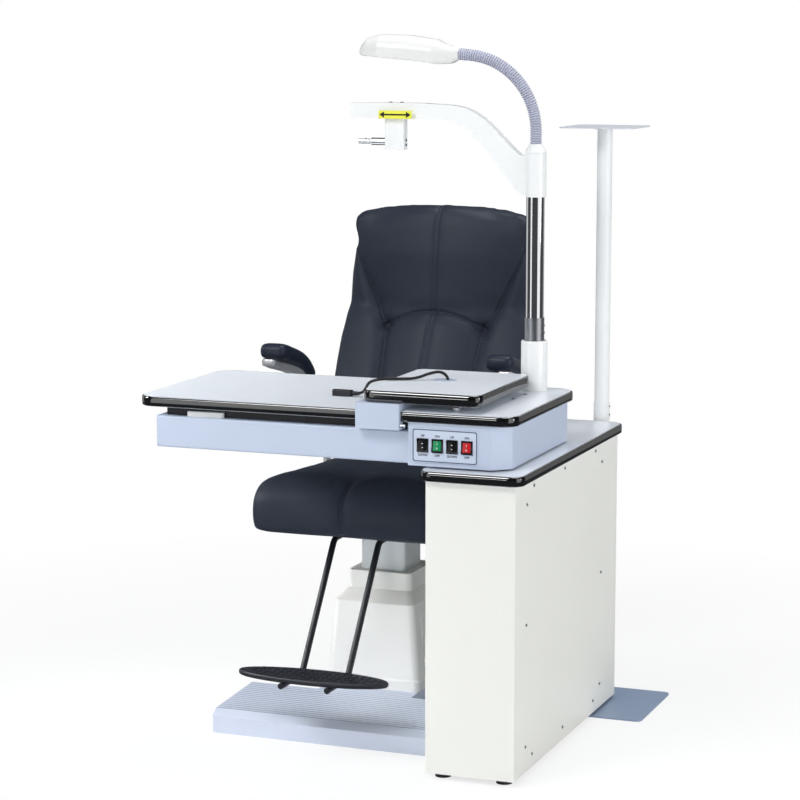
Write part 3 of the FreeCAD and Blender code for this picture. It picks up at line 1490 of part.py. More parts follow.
def refractor_arm():
    """Cast arm that sweeps up from its hub and runs out level, with a groove underneath."""
    middle = mm.arm_rise

    def at(out, up):
        return V(-mm.arm_reach * out, 0, middle + mm.arm_rise * up)

    top = [at(*each) for each in ARM_TOP_SHARES]
    low = [at(*each) for each in ARM_LOW_SHARES]
    upper = Part.BSplineCurve()
    upper.interpolate(top[2:])
    lower = Part.BSplineCurve()
    lower.interpolate(low[:-2])
    inside = mm.arm_hub_across * 0.1
    outline = Part.Wire([
        Part.LineSegment(low[-1], top[0]).toShape(),
        Part.LineSegment(top[0], top[1]).toShape(),
        Part.LineSegment(top[1], top[2]).toShape(),
        upper.toShape(),
        Part.LineSegment(top[-1], V(-inside, 0, top[-1].z)).toShape(),
        Part.LineSegment(V(-inside, 0, top[-1].z), V(-inside, 0, low[0].z)).toShape(),
        Part.LineSegment(V(-inside, 0, low[0].z), low[0]).toShape(),
        lower.toShape(),
        Part.LineSegment(low[-3], low[-2]).toShape(),
        Part.LineSegment(low[-2], low[-1]).toShape()])
    bar = Part.Face(outline).extrude(V(0, mm.arm_thick, 0))
    bar.translate(V(0, -mm.arm_thick / 2, 0))
    hub = Part.makeCylinder(mm.arm_hub_across / 2, mm.arm_hub_tall)
    arm = bar.fuse(hub).removeSplitter()
    spigot = Part.makeCylinder(mm.spigot_across / 2 + mm.run_gap, mm.spigot_long + mm.seat_gap)
    socket = Part.makeCylinder(mm.cone_spigot / 2 + mm.run_gap,
                               mm.cone_spigot_long + mm.overrun,
                               V(0, 0, mm.arm_hub_tall - mm.cone_spigot_long))
    start = mm.arm_reach - mm.arm_groove_start
    groove_low = low[-2].z - mm.arm_rise * 0.1
    groove = Part.makeBox(mm.arm_groove_long, mm.arm_groove,
                          mm.arm_groove_depth + mm.arm_rise * 0.1,
                          V(-start, -mm.arm_groove / 2, groove_low))
    piece = shaped("refractor_arm", arm.cut([spigot, socket, groove]))
    piece.Placement.Base = V(axis_x, axis_y, hub_under)
    return piece


def arm_underside():
    """Level of the flat underside of the arm above the underside of its hub."""
    return mm.arm_rise * (1 + ARM_LOW_SHARES[-2][1])


def refractor_bracket():
    """Hanging bracket whose tongue slides in the groove of the arm."""
    top = arm_underside() - mm.seat_gap
    left = mm.bracket_from_tip - mm.arm_reach
    body = Part.makeBox(mm.bracket_long, mm.arm_thick, mm.bracket_drop,
                        V(left, -mm.arm_thick / 2, top - mm.bracket_drop))
    uprights = [edge for edge in body.Edges if edge.BoundBox.ZLength > mm.bracket_drop * 0.9]
    body = body.makeFillet(mm.arm_thick * 0.12, uprights)
    tongue = Part.makeBox(mm.bracket_long, mm.arm_groove - 2 * mm.slide_gap,
                          mm.arm_groove_depth,
                          V(left, mm.slide_gap - mm.arm_groove / 2, top - mm.overrun / 4))
    pin_level = top - mm.pin_drop
    hole = Part.makeCylinder(mm.pin_stub / 2 + mm.run_gap, mm.bracket_long / 2,
                             V(left, 0, pin_level), V(1, 0, 0))
    piece = shaped("refractor_bracket", body.fuse(tongue).cut(hole))
    piece.Placement.Base = V(axis_x, axis_y, hub_under)
    return piece


def refractor_pin():
    """Stepped pin that holds the instrument, with a small lock ball."""
    left = mm.bracket_from_tip - mm.arm_reach
    level = arm_underside() - mm.seat_gap - mm.pin_drop
    inner = mm.bracket_long / 2 - mm.seat_gap
    stub = Part.makeCylinder(mm.pin_stub / 2, inner, V(left, 0, level), V(1, 0, 0))
    collar = Part.makeCylinder(mm.pin_collar / 2, mm.pin_collar_long,
                               V(left - mm.pin_collar_long, 0, level), V(1, 0, 0))
    out = left - mm.pin_collar_long - mm.pin_long
    tip = Part.makeCylinder(mm.pin_across / 2, mm.pin_long, V(out, 0, level), V(1, 0, 0))
    ball = Part.makeSphere(mm.ball_across / 2,
                           V(out + mm.pin_long / 2, 0, level + mm.pin_across / 2))
    piece = shaped("refractor_pin", collar.fuse([stub, tip, ball]).removeSplitter())
    piece.Placement.Base = V(axis_x, axis_y, hub_under)
    return piece


def lamp_socket():
    """Cone on top of the arm's hub that carries the gooseneck."""
    body = turned("lamp_socket", [
        ("0", "-cone_spigot_long + seat_gap"),
        ("cone_spigot / 2", "-cone_spigot_long + seat_gap"),
        ("cone_spigot / 2", "seat_gap"), ("arm_hub_across / 2", "seat_gap"),
        ("arm_hub_across / 2", "cone_tall * 0.2"), ("cone_across / 2", "cone_tall"),
        ("0", "cone_tall")])
    return place(body, AXIS_X, AXIS_Y, BOARD_UNDER + " + board_thick + sleeve_tall"
                 " + collar_tall + pole_show + arm_hub_tall")


HOSE_TURN = 85


def hose_place(along):
    """Centre point and direction of the gooseneck at a length along it."""
    turn = math.radians(HOSE_TURN)
    arc = mm.hose_radius * turn
    if along <= mm.hose_straight:
        return V(0, 0, along), V(0, 0, 1)
    if along <= mm.hose_straight + arc:
        angle = (along - mm.hose_straight) / mm.hose_radius
        centre = V(-mm.hose_radius, 0, mm.hose_straight)
        point = centre.add(V(math.cos(angle), 0, math.sin(angle)).multiply(mm.hose_radius))
        return point, V(-math.sin(angle), 0, math.cos(angle))
    point, direction = hose_place(mm.hose_straight + arc * 0.9999999)
    rest = along - mm.hose_straight - arc
    return point.add(V(direction).multiply(rest)), direction


def hose_length():
    return 2 * mm.hose_straight + mm.hose_radius * math.radians(HOSE_TURN)


def gooseneck():
    """Corrugated metal hose: each rib rises from a narrow waist."""
    wires = []
    outer = mm.hose_across / 2
    waist = outer - mm.hose_groove
    plain = hose_length() / (mm.hose_ribs + 2)
    steps = [(0.0, outer), (plain, outer)]
    for rib in range(int(mm.hose_ribs)):
        start = plain * (rib + 1)
        for share, radius in ((0.35, waist), (1.0, outer)):
            steps.append((start + plain * share, radius))
    steps.append((hose_length(), outer))
    for along, radius in steps:
        point, direction = hose_place(along)
        ring = Part.Circle(V(0, 0, 0), V(0, 0, 1), radius)
        wire = Part.Wire(ring.toShape())
        wire.Placement = FreeCAD.Placement(point, FreeCAD.Rotation(V(0, 0, 1), direction))
        wires.append(wire)
    hose = loft(wires)
    radius = mm.hose_bore / 2
    straight = mm.hose_straight + mm.overrun
    turn_start, upward = hose_place(mm.hose_straight)
    disc = Part.Face(Part.Wire(Part.Circle(turn_start, upward, radius).toShape()))
    elbow = disc.revolve(V(-mm.hose_radius, 0, mm.hose_straight), V(0, -1, 0), HOSE_TURN)
    turn_end, outward = hose_place(hose_length() - mm.hose_straight)
    hollow = elbow.fuse([
        Part.makeCylinder(radius, straight, V(0, 0, -mm.overrun)),
        Part.makeCylinder(radius, straight, turn_end, outward)])
    hose = hose.cut(hollow)
    piece = shaped("gooseneck", hose)
    piece.Placement.Base = V(axis_x, axis_y, hub_top + mm.cone_tall)
    return piece


SHADE_STATION_SHARES = (
    # along from the neck, top, bottom, half width: shares of the length, height, height, width
    (0.0, 0.23, -0.23, 0.14), (0.10, 0.24, -0.24, 0.16), (0.16, 0.44, -0.36, 0.34),
    (0.22, 0.60, -0.36, 0.46), (0.50, 0.66, -0.34, 0.50), (0.78, 0.60, -0.34, 0.47),
    (0.92, 0.42, -0.33, 0.38), (0.985, 0.10, -0.30, 0.22), (1.0, -0.06, -0.26, 0.14),
)


def shade_wire(along, top, low, half, inset=0.0):
    """One upright section of the lamp shade: flat below, arched above."""
    x = -mm.shade_long * along
    high = mm.shade_tall * top - inset
    under = mm.shade_tall * low
    side = mm.shade_wide * half - inset
    waist = under + (high - under) * 0.45
    return Part.Wire([
        Part.LineSegment(V(x, -side, under), V(x, side, under)).toShape(),
        Part.LineSegment(V(x, side, under), V(x, side, waist)).toShape(),
        Part.Arc(V(x, side, waist), V(x, side * 0.72, waist + (high - waist) * 0.72),
                 V(x, 0, high)).toShape(),
        Part.Arc(V(x, 0, high), V(x, -side * 0.72, waist + (high - waist) * 0.72),
                 V(x, -side, waist)).toShape(),
        Part.LineSegment(V(x, -side, waist), V(x, -side, under)).toShape()])


def lamp_parts():
    """Moulded shade, hollow from below, and the diffuser in its mouth."""
    outer = loft([shade_wire(*each) for each in SHADE_STATION_SHARES])
    hollow_stations = [each for each in SHADE_STATION_SHARES if 0.2 < each[0] < 0.95]
    hollow = []
    for along, top, low, half in hollow_stations:
        hollow.append(shade_wire(along, top, low - mm.overrun / mm.shade_tall, half,
                                 mm.shade_wall))
    cavity = loft(hollow)
    shade = outer.cut(cavity)
    lip = []
    for along, top, low, half in hollow_stations:
        x = -mm.shade_long * along
        side = mm.shade_wide * half - mm.shade_wall - mm.seat_gap
        under = mm.shade_tall * low + mm.lens_thick
        lip.append((x, side, under))
    trim = mm.seat_gap
    lip[0] = (lip[0][0] - trim, lip[0][1], lip[0][2])
    lip[-1] = (lip[-1][0] + trim, lip[-1][1], lip[-1][2])
    level = min(each[2] for each in lip)
    points = [V(x, -side, level) for x, side, under in lip]
    points += [V(x, side, level) for x, side, under in reversed(lip)]
    lens = Part.Face(Part.makePolygon(points + [points[0]])).extrude(V(0, 0, mm.lens_thick))
    end, direction = hose_place(hose_length())
    lean = FreeCAD.Rotation(V(-1, 0, 0), direction)
    at = FreeCAD.Placement(V(axis_x, axis_y, hub_top + mm.cone_tall).add(end), lean)
    pieces = []
    for label, shape in (("lamp_shade", shade), ("lamp_diffuser", lens)):
        piece = shaped(label, shape)
        piece.Placement = at
        pieces.append(piece)
    return pieces


# Projector stand

def projector_lower_tube():
    body = turned("projector_lower_tube", tube_profile(
        "mast_across + 2 * run_gap", "stand_across", "plate_thick",
        TOP_UNDER + " + top_thick + stand_over_top"))
    return place(body, STAND_X, STAND_Y)


def projector_pole():
    """Inner tube that slides and turns, with a hub disc on top."""
    body = turned("projector_pole", [
        ("0", "mast_low"), ("mast_across / 2", "mast_low"),
        ("mast_across / 2", "mast_top - tray_hub_thick"),
        ("tray_hub / 2", "mast_top - tray_hub_thick"), ("tray_hub / 2", "mast_top"),
        ("0", "mast_top")])
    return place(body, STAND_X, STAND_Y)


def projector_plate():
    body = slab("projector_plate", box_outline("-tray_wide / 2", "tray_wide / 2",
                                               "-tray_deep / 2", "tray_deep / 2"),
                "tray_thick", level="mast_top")
    round_edges(body, "tray_corner", V(0, 0, 1))
    return place(body, STAND_X, STAND_Y)


def build():
    step_base()
    floor_plate()
    pedestal_cover()
    chair_lift_core()
    chair_column()
    mounting_plate()
    seat_frame()
    seat_cushion()
    backrest_cushion()
    back_shell()
    back_bracket()
    for side, name in ((-1, "right"), (1, "left")):
        armrest_post("armrest_post_" + name, side)
        armrest_base(side, "armrest_base_" + name)
        armrest_pad(side, "armrest_pad_" + name)
    footrest_rods()
    footrest_plate()
    cabinet_body()
    cabinet_side_panel()
    cabinet_screws()
    cabinet_feet()
    worktop()
    table_lift_guide()
    lift_column()
    spindle_tube()
    pole_sleeve()
    clamp_collar()
    turret_housing()
    table_beam()
    table_rail()
    table_board()
    lever = brake_lever()
    place(lever, AXIS_X + " - housing_left - beam_long + rail_start + lever_end + lever_long",
          AXIS_Y + " - rail_front - lever_deep / 2 - seat_gap",
          TABLE_UNDER + " + beam_rise + beam_tall + seat_gap")
    switch_plate()
    rocker(0, "rocker_table", 0)
    rocker(1, "rocker_lamp", -6)
    rocker(2, "rocker_chair", 0)
    rocker(3, "rocker_power", -6)
    instrument_platform()
    carriage_block()
    carriage_lock_screw()
    platform_rollers()
    cable_grommet()
    cable_and_plug()
    chrome_pole()
    refractor_arm()
    refractor_bracket()
    refractor_pin()
    lamp_socket()
    gooseneck()
    lamp_parts()
    projector_lower_tube()
    projector_pole()
    projector_plate()


def sub_parts():
    """Every body and every free-standing feature of the document."""
    kinds = ("PartDesign::Body", "Part::Feature", "Part::Cut")
    operands = [part for item in doc.Objects if item.TypeId == "Part::Cut"
                for part in (item.Base, item.Tool)]
    return [item for item in doc.Objects if item.TypeId in kinds
            and item.getParentGeoFeatureGroup() is None and item not in operands]


def check_all():
    for item in doc.Objects:
        if "Invalid" in item.State or "Error" in item.State:
            raise ValueError(f"{item.Label} is {item.State}")
    for item in sub_parts():
        if item.Shape.isNull() or not item.Shape.isValid() or not item.Shape.Solids:
            raise ValueError(item.Label + " has no valid solid")


def write_all():
    os.makedirs("parts", exist_ok=True)
    for item in sub_parts():
        item.Shape.exportStep(f"parts/{item.Label}.step")


build()
doc.recompute()
check_all()
write_all()
print(len(sub_parts()), "sub-parts written")
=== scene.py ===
import math

import bmesh
import bpy
import numpy as np
from mathutils import Matrix, Vector
from mathutils.bvhtree import BVHTree


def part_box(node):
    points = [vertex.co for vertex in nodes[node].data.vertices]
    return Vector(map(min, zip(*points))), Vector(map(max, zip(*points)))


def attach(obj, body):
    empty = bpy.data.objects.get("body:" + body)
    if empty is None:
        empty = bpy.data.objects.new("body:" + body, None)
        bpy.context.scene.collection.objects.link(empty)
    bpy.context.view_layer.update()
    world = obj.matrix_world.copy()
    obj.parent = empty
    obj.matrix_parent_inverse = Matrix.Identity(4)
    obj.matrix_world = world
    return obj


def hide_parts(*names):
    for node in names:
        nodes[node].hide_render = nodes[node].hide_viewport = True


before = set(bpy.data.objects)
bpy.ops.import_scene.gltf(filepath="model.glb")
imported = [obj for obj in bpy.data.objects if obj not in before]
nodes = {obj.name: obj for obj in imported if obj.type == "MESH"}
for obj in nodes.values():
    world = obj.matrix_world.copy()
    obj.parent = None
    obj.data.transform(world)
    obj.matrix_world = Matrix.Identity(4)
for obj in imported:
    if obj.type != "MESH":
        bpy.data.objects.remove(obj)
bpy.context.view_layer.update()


# Studio
# A pale floor that runs into a white background, soft lamps, and the camera that looks
# from the front right, a little above the table.

scene = bpy.context.scene
scene.view_settings.view_transform = "Standard"


def tone(red, green, blue):
    """A colour written in screen values from 0 to 255."""
    parts = []
    for each in (red, green, blue):
        share = each / 255
        parts.append(share / 12.92 if share <= 0.04045 else ((share + 0.055) / 1.055) ** 2.4)
    return (*parts, 1.0)


view = bpy.data.cameras.new("studio_camera")
view.lens = 112.57
view.sensor_width = 36
view.clip_end = 60
camera = bpy.data.objects.new("studio_camera", view)
camera.location = (2.2997, -5.9025, 1.749)
camera.rotation_euler = (math.radians(81.30), 0, math.radians(21.085))
scene.collection.objects.link(camera)
scene.camera = camera


def lamp(name, place, aim, size, watts):
    """A square soft lamp that faces a point."""
    data = bpy.data.lights.new(name, "AREA")
    data.size = size
    data.energy = watts
    made = bpy.data.objects.new(name, data)
    made.location = place
    made.rotation_euler = (Vector(aim) - Vector(place)).to_track_quat("-Z", "Y").to_euler()
    scene.collection.objects.link(made)
    return made


lamp("key_lamp", (-1.5, -3.7, 4.2), (0.1, -0.2, 0.7), 1.6, 104)
lamp("front_lamp", (1.5, -5.4, 1.3), (0.1, -0.2, 0.7), 2.6, 27).visible_glossy = False
lamp("side_lamp", (5.6, -1.2, 2.0), (0.3, -0.2, 0.7), 2.6, 98)
lamp("top_lamp", (0.6, 0.6, 4.6), (0.1, -0.2, 0.6), 2.0, 80)
low_light = lamp("low_lamp", (-2.2, -1.0, 1.9), (0.0, -0.3, 0.05), 0.8, 2.7)
low_light.data.spread = math.radians(34)
under_light = lamp("under_lamp", (-0.9, -2.9, 0.16), (0.05, -0.1, 0.36), 0.3, 0.15)
under_light.visible_glossy = False
under_light.data.spread = math.radians(16)


class Shade:
    """A socket in a material, so that maths on it reads as a plain expression."""

    def __init__(self, tree, socket):
        self.tree = tree
        self.socket = socket

    def join(self, kind, first, second):
        made = self.tree.nodes.new("ShaderNodeMath")
        made.operation = kind
        for number, value in enumerate((first, second)):
            if isinstance(value, Shade):
                self.tree.links.new(value.socket, made.inputs[number])
            else:
                made.inputs[number].default_value = value
        return Shade(self.tree, made.outputs[0])

    def __add__(self, other):
        return self.join("ADD", self, other)

    def __radd__(self, other):
        return self.join("ADD", other, self)

    def __rsub__(self, other):
        return self.join("SUBTRACT", other, self)

    def __mul__(self, other):
        return self.join("MULTIPLY", self, other)

    def __rmul__(self, other):
        return self.join("MULTIPLY", other, self)

    def __gt__(self, other):
        return self.join("GREATER_THAN", self, other)


def add_node(tree, kind, settings, sockets, out=0):
    """A shader node with its settings and inputs, as the socket that it gives."""
    made = tree.nodes.new("ShaderNode" + kind)
    for key, value in settings.items():
        setattr(made, key, value)
    for key, value in sockets.items():
        if isinstance(value, Shade):
            tree.links.new(value.socket, made.inputs[key])
        else:
            made.inputs[key].default_value = value
    return Shade(tree, made.outputs[out])


class Finish:
    """A material on one principled shader, with its patterns in object coordinates."""

    def __init__(self, name, colour, rough, **plain):
        self.material = bpy.data.materials.new(name)
        self.material.use_nodes = True
        self.tree = self.material.node_tree
        self.shader = self.tree.nodes["Principled BSDF"]
        self.colour = colour
        self.shader.inputs["Base Color"].default_value = colour
        self.shader.inputs["Roughness"].default_value = rough
        for name, value in plain.items():
            self.shader.inputs[name.replace("_", " ")].default_value = value
        self.place = self.node("TexCoord", {}, {}, "Object")

    def node(self, kind, settings, sockets, out=0):
        return add_node(self.tree, kind, settings, sockets, out)

    def stretched(self, size):
        """Object coordinates multiplied along each axis."""
        return self.node("Mapping", {}, {"Vector": self.place, "Scale": size})

    def noise(self, scale, detail=2.0, rough=0.5, place=None):
        return self.node("TexNoise", {}, {"Vector": place or self.place, "Scale": scale,
                                          "Detail": detail, "Roughness": rough})

    def cells(self, scale, feature="F1"):
        return self.node("TexVoronoi", {"feature": feature},
                         {"Vector": self.place, "Scale": scale}, "Distance")

    def pattern(self, size):
        """Cells of one size, or noise of a scale and a detail."""
        return self.noise(*size) if isinstance(size, tuple) else self.cells(size)

    def mix(self, share, first, second):
        """A colour between two colours."""
        return self.node("Mix", {"data_type": "RGBA"}, {0: share, 6: first, 7: second}, 2)

    def shades(self, share, dark, light):
        """The base colour varied between two strengths of itself."""
        low = (*[each * dark for each in self.colour[:3]], 1)
        high = (*[min(1, each * light) for each in self.colour[:3]], 1)
        self.set("Base Color", self.mix(share, low, high))

    def set(self, name, value):
        self.tree.links.new(value.socket, self.shader.inputs[name])

    def bump(self, height, depth, strength=1.0, under=None):
        sockets = {"Height": height, "Distance": depth, "Strength": strength}
        if under:
            sockets["Normal"] = under
        made = self.node("Bump", {}, sockets)
        self.set("Normal", made)
        return made


world = bpy.data.worlds.new("studio_world")
scene.world = world
world.use_nodes = True
air = world.node_tree
air.nodes.clear()
sky = add_node(air, "Background", {}, {"Color": (0.95, 0.975, 1.0, 1.0), "Strength": 0.42})
dusk = add_node(air, "Background", {}, {"Color": (0.02, 0.022, 0.026, 1)})
plain = add_node(air, "Background", {}, {"Color": (1, 1, 1, 1)})
lit = add_node(air, "MixShader", {}, {0: add_node(air, "LightPath", {}, {}, "Is Glossy Ray"),
                                      1: sky, 2: dusk})
seen = add_node(air, "MixShader", {}, {0: add_node(air, "LightPath", {}, {}, "Is Camera Ray"),
                                       1: lit, 2: plain})
air.links.new(seen.socket, air.nodes.new("ShaderNodeOutputWorld").inputs[0])

bpy.ops.mesh.primitive_plane_add(size=40, location=(0, 0, -0.0004))
floor = bpy.context.object
floor.name = "studio_floor"
pale = Finish("studio_floor", (0.90, 0.91, 0.92, 1), 0.75)
glow = pale.node("Emission", {}, {})
dim = pale.node("Emission", {}, {"Color": (0.06, 0.062, 0.066, 1)})
away = pale.node("VectorMath", {"operation": "LENGTH"}, {0: pale.place}, "Value")
fade = pale.node("MapRange", {}, {"Value": away, "From Min": 0.8, "From Max": 2.2,
                                  "To Min": 0.72, "To Max": 1.0})
over = pale.node("MixShader", {}, {0: pale.node("LightPath", {}, {}, "Is Camera Ray") * fade,
                                   1: Shade(pale.tree, pale.shader.outputs[0]), 2: glow})
mirror = pale.node("MixShader", {}, {0: pale.node("LightPath", {}, {}, "Is Glossy Ray"),
                                     1: over, 2: dim})
pale.tree.links.new(mirror.socket, pale.tree.nodes["Material Output"].inputs[0])
floor.data.materials.append(pale.material)

# White studio cards, seen only by reflections, give the chrome its stripes and the black
# edgings their line of light.
ROUND_POLE, ROUND_TABLE = (0.45, -0.2, 3.6), (0.0, -0.4, 5.3)
for name, about, bearing, width, low_edge, top_edge, level in (
        ("left_card", ROUND_POLE, -122.5, 1.2, 0.0, 2.6, 1.0),
        ("right_card", ROUND_POLE, -23, 2.34, 0.0, 2.6, 1.0),
        ("rear_card", ROUND_POLE, 163, 2.48, 0.0, 2.6, 0.6),
        ("far_card", ROUND_POLE, 75, 3.36, 0.0, 2.6, 0.3),
        ("edge_card", ROUND_TABLE, -113, 2.2, 1.04, 1.36, 6)):
    shine = Finish(name, (0, 0, 0, 1), 0.5, Emission_Color=(1, 1, 1, 1),
                   Emission_Strength=level)
    turn = math.radians(bearing)
    bpy.ops.mesh.primitive_plane_add(
        size=1, location=(about[0] + about[2] * math.cos(turn),
                          about[1] + about[2] * math.sin(turn), (low_edge + top_edge) / 2),
        rotation=(math.radians(90), 0, turn + math.radians(90)))
    card = bpy.context.object
    card.name = name
    card.scale = (width, top_edge - low_edge, 1)
    card.data.materials.append(shine.material)
    card.visible_camera = False
    card.visible_diffuse = False
    card.visible_shadow = False


# Cable and connector
# A 7 mm rubber-sheathed lead comes up through the grommet, lies across the platform and
# drops to the board, where its moulded connector lies loose.

CREASE = math.radians(28)


def dress(finish, *names):
    """Give CAD nodes their material."""
    for name in names:
        item = nodes[name]
        if not item.material_slots:
            item.data.materials.append(finish.material)
        for each in item.material_slots:
            each.material = finish.material
        item.data.polygons.foreach_set("use_smooth", [True] * len(item.data.polygons))
        item.modifiers.new("weld", "WELD").merge_threshold = 1e-5
        item.modifiers.new("crease", "EDGE_SPLIT").split_angle = CREASE


def fit(piece, name, body, slot, finish, *stands_for):
    """Name a finished piece, give it its material and body, and hide what it replaces; the slot is
    not used.
    """
    piece.name = name
    piece.data.materials.clear()
    piece.data.materials.append(finish.material)
    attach(piece, body)
    if stands_for:
        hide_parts(*stands_for)
    return piece


def coated(name, colour, rough, grain, mottle, gloss=None):
    """A finish with a fine grain in its surface and a soft mottle in its colour.

    The grain is a pattern, a depth and a strength; the mottle a pattern, a dark and a light
    share; the gloss, where it varies, a lowest roughness, a span and a pattern.
    """
    made = Finish(name, colour, rough)
    made.bump(made.pattern(grain[0]), *grain[1:])
    made.shades(made.pattern(mottle[0]), *mottle[1:])
    if gloss:
        made.set("Roughness", gloss[0] + gloss[1] * made.pattern(gloss[2]))
    return made


def curve_through(name, kind, route):
    """A curve object with its points along a route."""
    line = bpy.data.curves.new(name, "CURVE")
    line.dimensions = "3D"
    run = line.splines.new(kind)
    run.points.add(len(route) - 1)
    for point, place in zip(run.points, route):
        point.co = (*place, 1)
    made = bpy.data.objects.new(name, line)
    scene.collection.objects.link(made)
    return made


cable_rubber = coated("cable_rubber", tone(20, 21, 24), 0.42,
                      ((900, 3), 0.0002, 0.5), ((60, 2), 0.8, 1.25))

CABLE_ROUTE = (
    (0.310, -0.420, 0.883), (0.310, -0.420, 0.907), (0.293, -0.420, 0.924),
    (0.267, -0.428, 0.9205), (0.236, -0.443, 0.9072), (0.203, -0.461, 0.9072),
    (0.162, -0.482, 0.908), (0.133, -0.484, 0.900), (0.120, -0.474, 0.882),
    (0.104, -0.4585, 0.8658), (0.078, -0.4585, 0.8658))
lead = curve_through("platform_lead", "NURBS", CABLE_ROUTE)
lead.data.bevel_depth = 0.0035
lead.data.bevel_resolution = 5
lead.data.resolution_u = 14
lead.data.use_fill_caps = True
lead.data.splines[0].order_u = 3
lead.data.splines[0].use_endpoint_u = True
fit(lead, "platform_lead", "platform", "black_rubber", cable_rubber, "cable")

moulded_black = coated("moulded_black", tone(24, 26, 31), 0.38,
                       ((1400, 2), 0.0002, 0.35), ((25, 2), 0.85, 1.2))
dress(moulded_black, "cable_connector")


# Connector details
# The moulded connector has a short tapered strain relief behind it, turned from a round
# bar with its rims softened.

def only(piece):
    """Select one object alone."""
    bpy.ops.object.select_all(action="DESELECT")
    bpy.context.view_layer.objects.active = piece
    piece.select_set(True)
    return piece


def settle(piece):
    """Put the place of a finished piece into its mesh."""
    only(piece)
    bpy.ops.object.transform_apply(location=True, rotation=True, scale=True)
    return piece


def applied(piece, kind, **settings):
    """Add a modifier and apply it."""
    only(piece)
    made = piece.modifiers.new("step", kind)
    for key, value in settings.items():
        setattr(made, key, value)
    bpy.ops.object.modifier_apply(modifier=made.name)
    return piece


def smooth(piece, angle=35):
    only(piece)
    bpy.ops.object.shade_smooth_by_angle(angle=math.radians(angle))
    return piece


def round_bar(place, axis, across, long, sides=32):
    """A round bar from a point along an axis."""
    aim = Vector(axis).normalized()
    bpy.ops.object.select_all(action="DESELECT")
    bpy.ops.mesh.primitive_cylinder_add(
        vertices=sides, radius=across / 2, depth=long,
        location=Vector(place) + aim * long / 2,
        rotation=Vector((0, 0, 1)).rotation_difference(aim).to_euler())
    return settle(bpy.context.object)


CONNECTOR = CABLE_ROUTE[-1]
RELIEF_LONG, RELIEF_TAPER = 0.020, 0.28
relief = round_bar(CONNECTOR, (1, 0, 0), 0.0115, RELIEF_LONG, 24)
for vertex in relief.data.vertices:
    narrower = 1 - RELIEF_TAPER * (vertex.co.x - CONNECTOR[0]) / RELIEF_LONG
    vertex.co.y = CONNECTOR[1] + (vertex.co.y - CONNECTOR[1]) * narrower
    vertex.co.z = CONNECTOR[2] + (vertex.co.z - CONNECTOR[2]) * narrower
smooth(applied(relief, "BEVEL", width=0.0008, segments=2))
fit(relief, "connector_relief", "platform", "black_rubber", cable_rubber)


# Step base
# One thick formed plastic step with fine ribs across its top, a bevelled front edge and a
# tail under the chair; it hides the steel plate that the lift is bolted to. The grooves
# between the ribs are painted shade in its colour, not cut into its shape.

RIB_HALF_PITCH, RIB_OFFSET, GROOVES_ABOVE = 0.008, 2.0425, 0.0525
step_plastic = Finish("step_plastic", tone(198, 206, 223), 0.46)
step_plastic.bump(step_plastic.noise(260, 4, 0.6), 0.0004, 0.35)
depth_way = step_plastic.node("SeparateXYZ", {}, {"Vector": step_plastic.place}, 1)
height_way = step_plastic.node("SeparateXYZ", {}, {"Vector": step_plastic.place}, 2)
from_rib = step_plastic.node("Math", {"operation": "PINGPONG"},
                             {0: depth_way + RIB_OFFSET, 1: RIB_HALF_PITCH})
clear = step_plastic.node("MapRange", {}, {"Value": from_rib, "From Min": 0.0012,
                                           "From Max": 0.0032})
# Painted shade: the grooves between the ribs on the top are darkened in the base colour.
groove_shade_share = (1 - clear) * (height_way > GROOVES_ABOVE)
step_tone = step_plastic.mix(step_plastic.noise(5, 4, 0.6), tone(198, 206, 223),
                             tone(210, 217, 233))
step_plastic.set("Base Color", step_plastic.mix(groove_shade_share, step_tone, tone(146, 155, 177)))
step_plastic.set("Roughness", 0.40 + 0.14 * step_plastic.noise(14, 3))
dress(step_plastic, "base_platform")


# Floor plate
# A bent steel plate, painted grey blue, that the cabinet and the projector stand share.

floor_paint = coated("floor_paint", tone(146, 163, 189), 0.42, ((420, 3), 0.0003, 0.35),
                     ((7, 5, 0.65), 0.90, 1.06), (0.32, 0.25, (9, 4)))
dress(floor_paint, "floor_plate")


# Pedestal cover
# A white moulded cover in steps round the foot of the chair's lift.

cover_plastic = coated("cover_plastic", tone(238, 238, 234), 0.36,
                       ((350, 3), 0.0003, 0.3), ((4, 3), 0.965, 1.01))
dress(cover_plastic, "pedestal_cover")


# Lift column and chair frame
# The column is square steel tube in grey enamel; the plate, frame and brackets over it are
# flat steel in black powder coat.

column_paint = coated("column_paint", tone(220, 225, 227), 0.30,
                      ((300, 3), 0.0003, 0.25), ((6, 3), 0.94, 1.03))
dress(column_paint, "chair_column")

black_powder = coated("black_powder", tone(27, 30, 36), 0.44,
                      (700, 0.0004, 0.35), ((18, 3), 0.85, 1.2))
dress(black_powder, "mounting_plate", "seat_frame", "back_bracket")

plain_steel = Finish("plain_steel", tone(176, 179, 184), 0.32, Metallic=1.0)
steel_grain = plain_steel.noise(90, 4, 0.6, plain_steel.stretched((1, 1, 18)))
plain_steel.set("Roughness", 0.24 + 0.22 * steel_grain)
plain_steel.bump(steel_grain, 0.0001, 0.3)
dress(plain_steel, "chair_lift_core", "table_lift_guide", "lift_column", "spindle_tube")


# Upholstery
# Foam in black leather. The skin is welded from the solid, remeshed, swelled by a short
# cloth run that the sewn lines hold back, and the seams are then drawn in and stitched.

leather = Finish("leather", tone(43, 49, 61), 0.45, Specular_IOR_Level=0.22)
pores = leather.cells(520, "F1")
creases = leather.cells(210, "DISTANCE_TO_EDGE")
hide = leather.noise(7, 5, 0.6)
leather.shades(0.6 * hide + 0.4 * leather.noise(130, 2), 0.82, 1.18)
leather.set("Roughness", 0.38 + 0.16 * hide + 0.06 * leather.noise(400, 2))
wrinkle = leather.bump(leather.noise(38, 4, 0.65), 0.0016, 0.16)
fold = leather.bump(creases, 0.0006, 0.30, wrinkle)
leather.bump(pores, 0.0004, 0.35, fold)


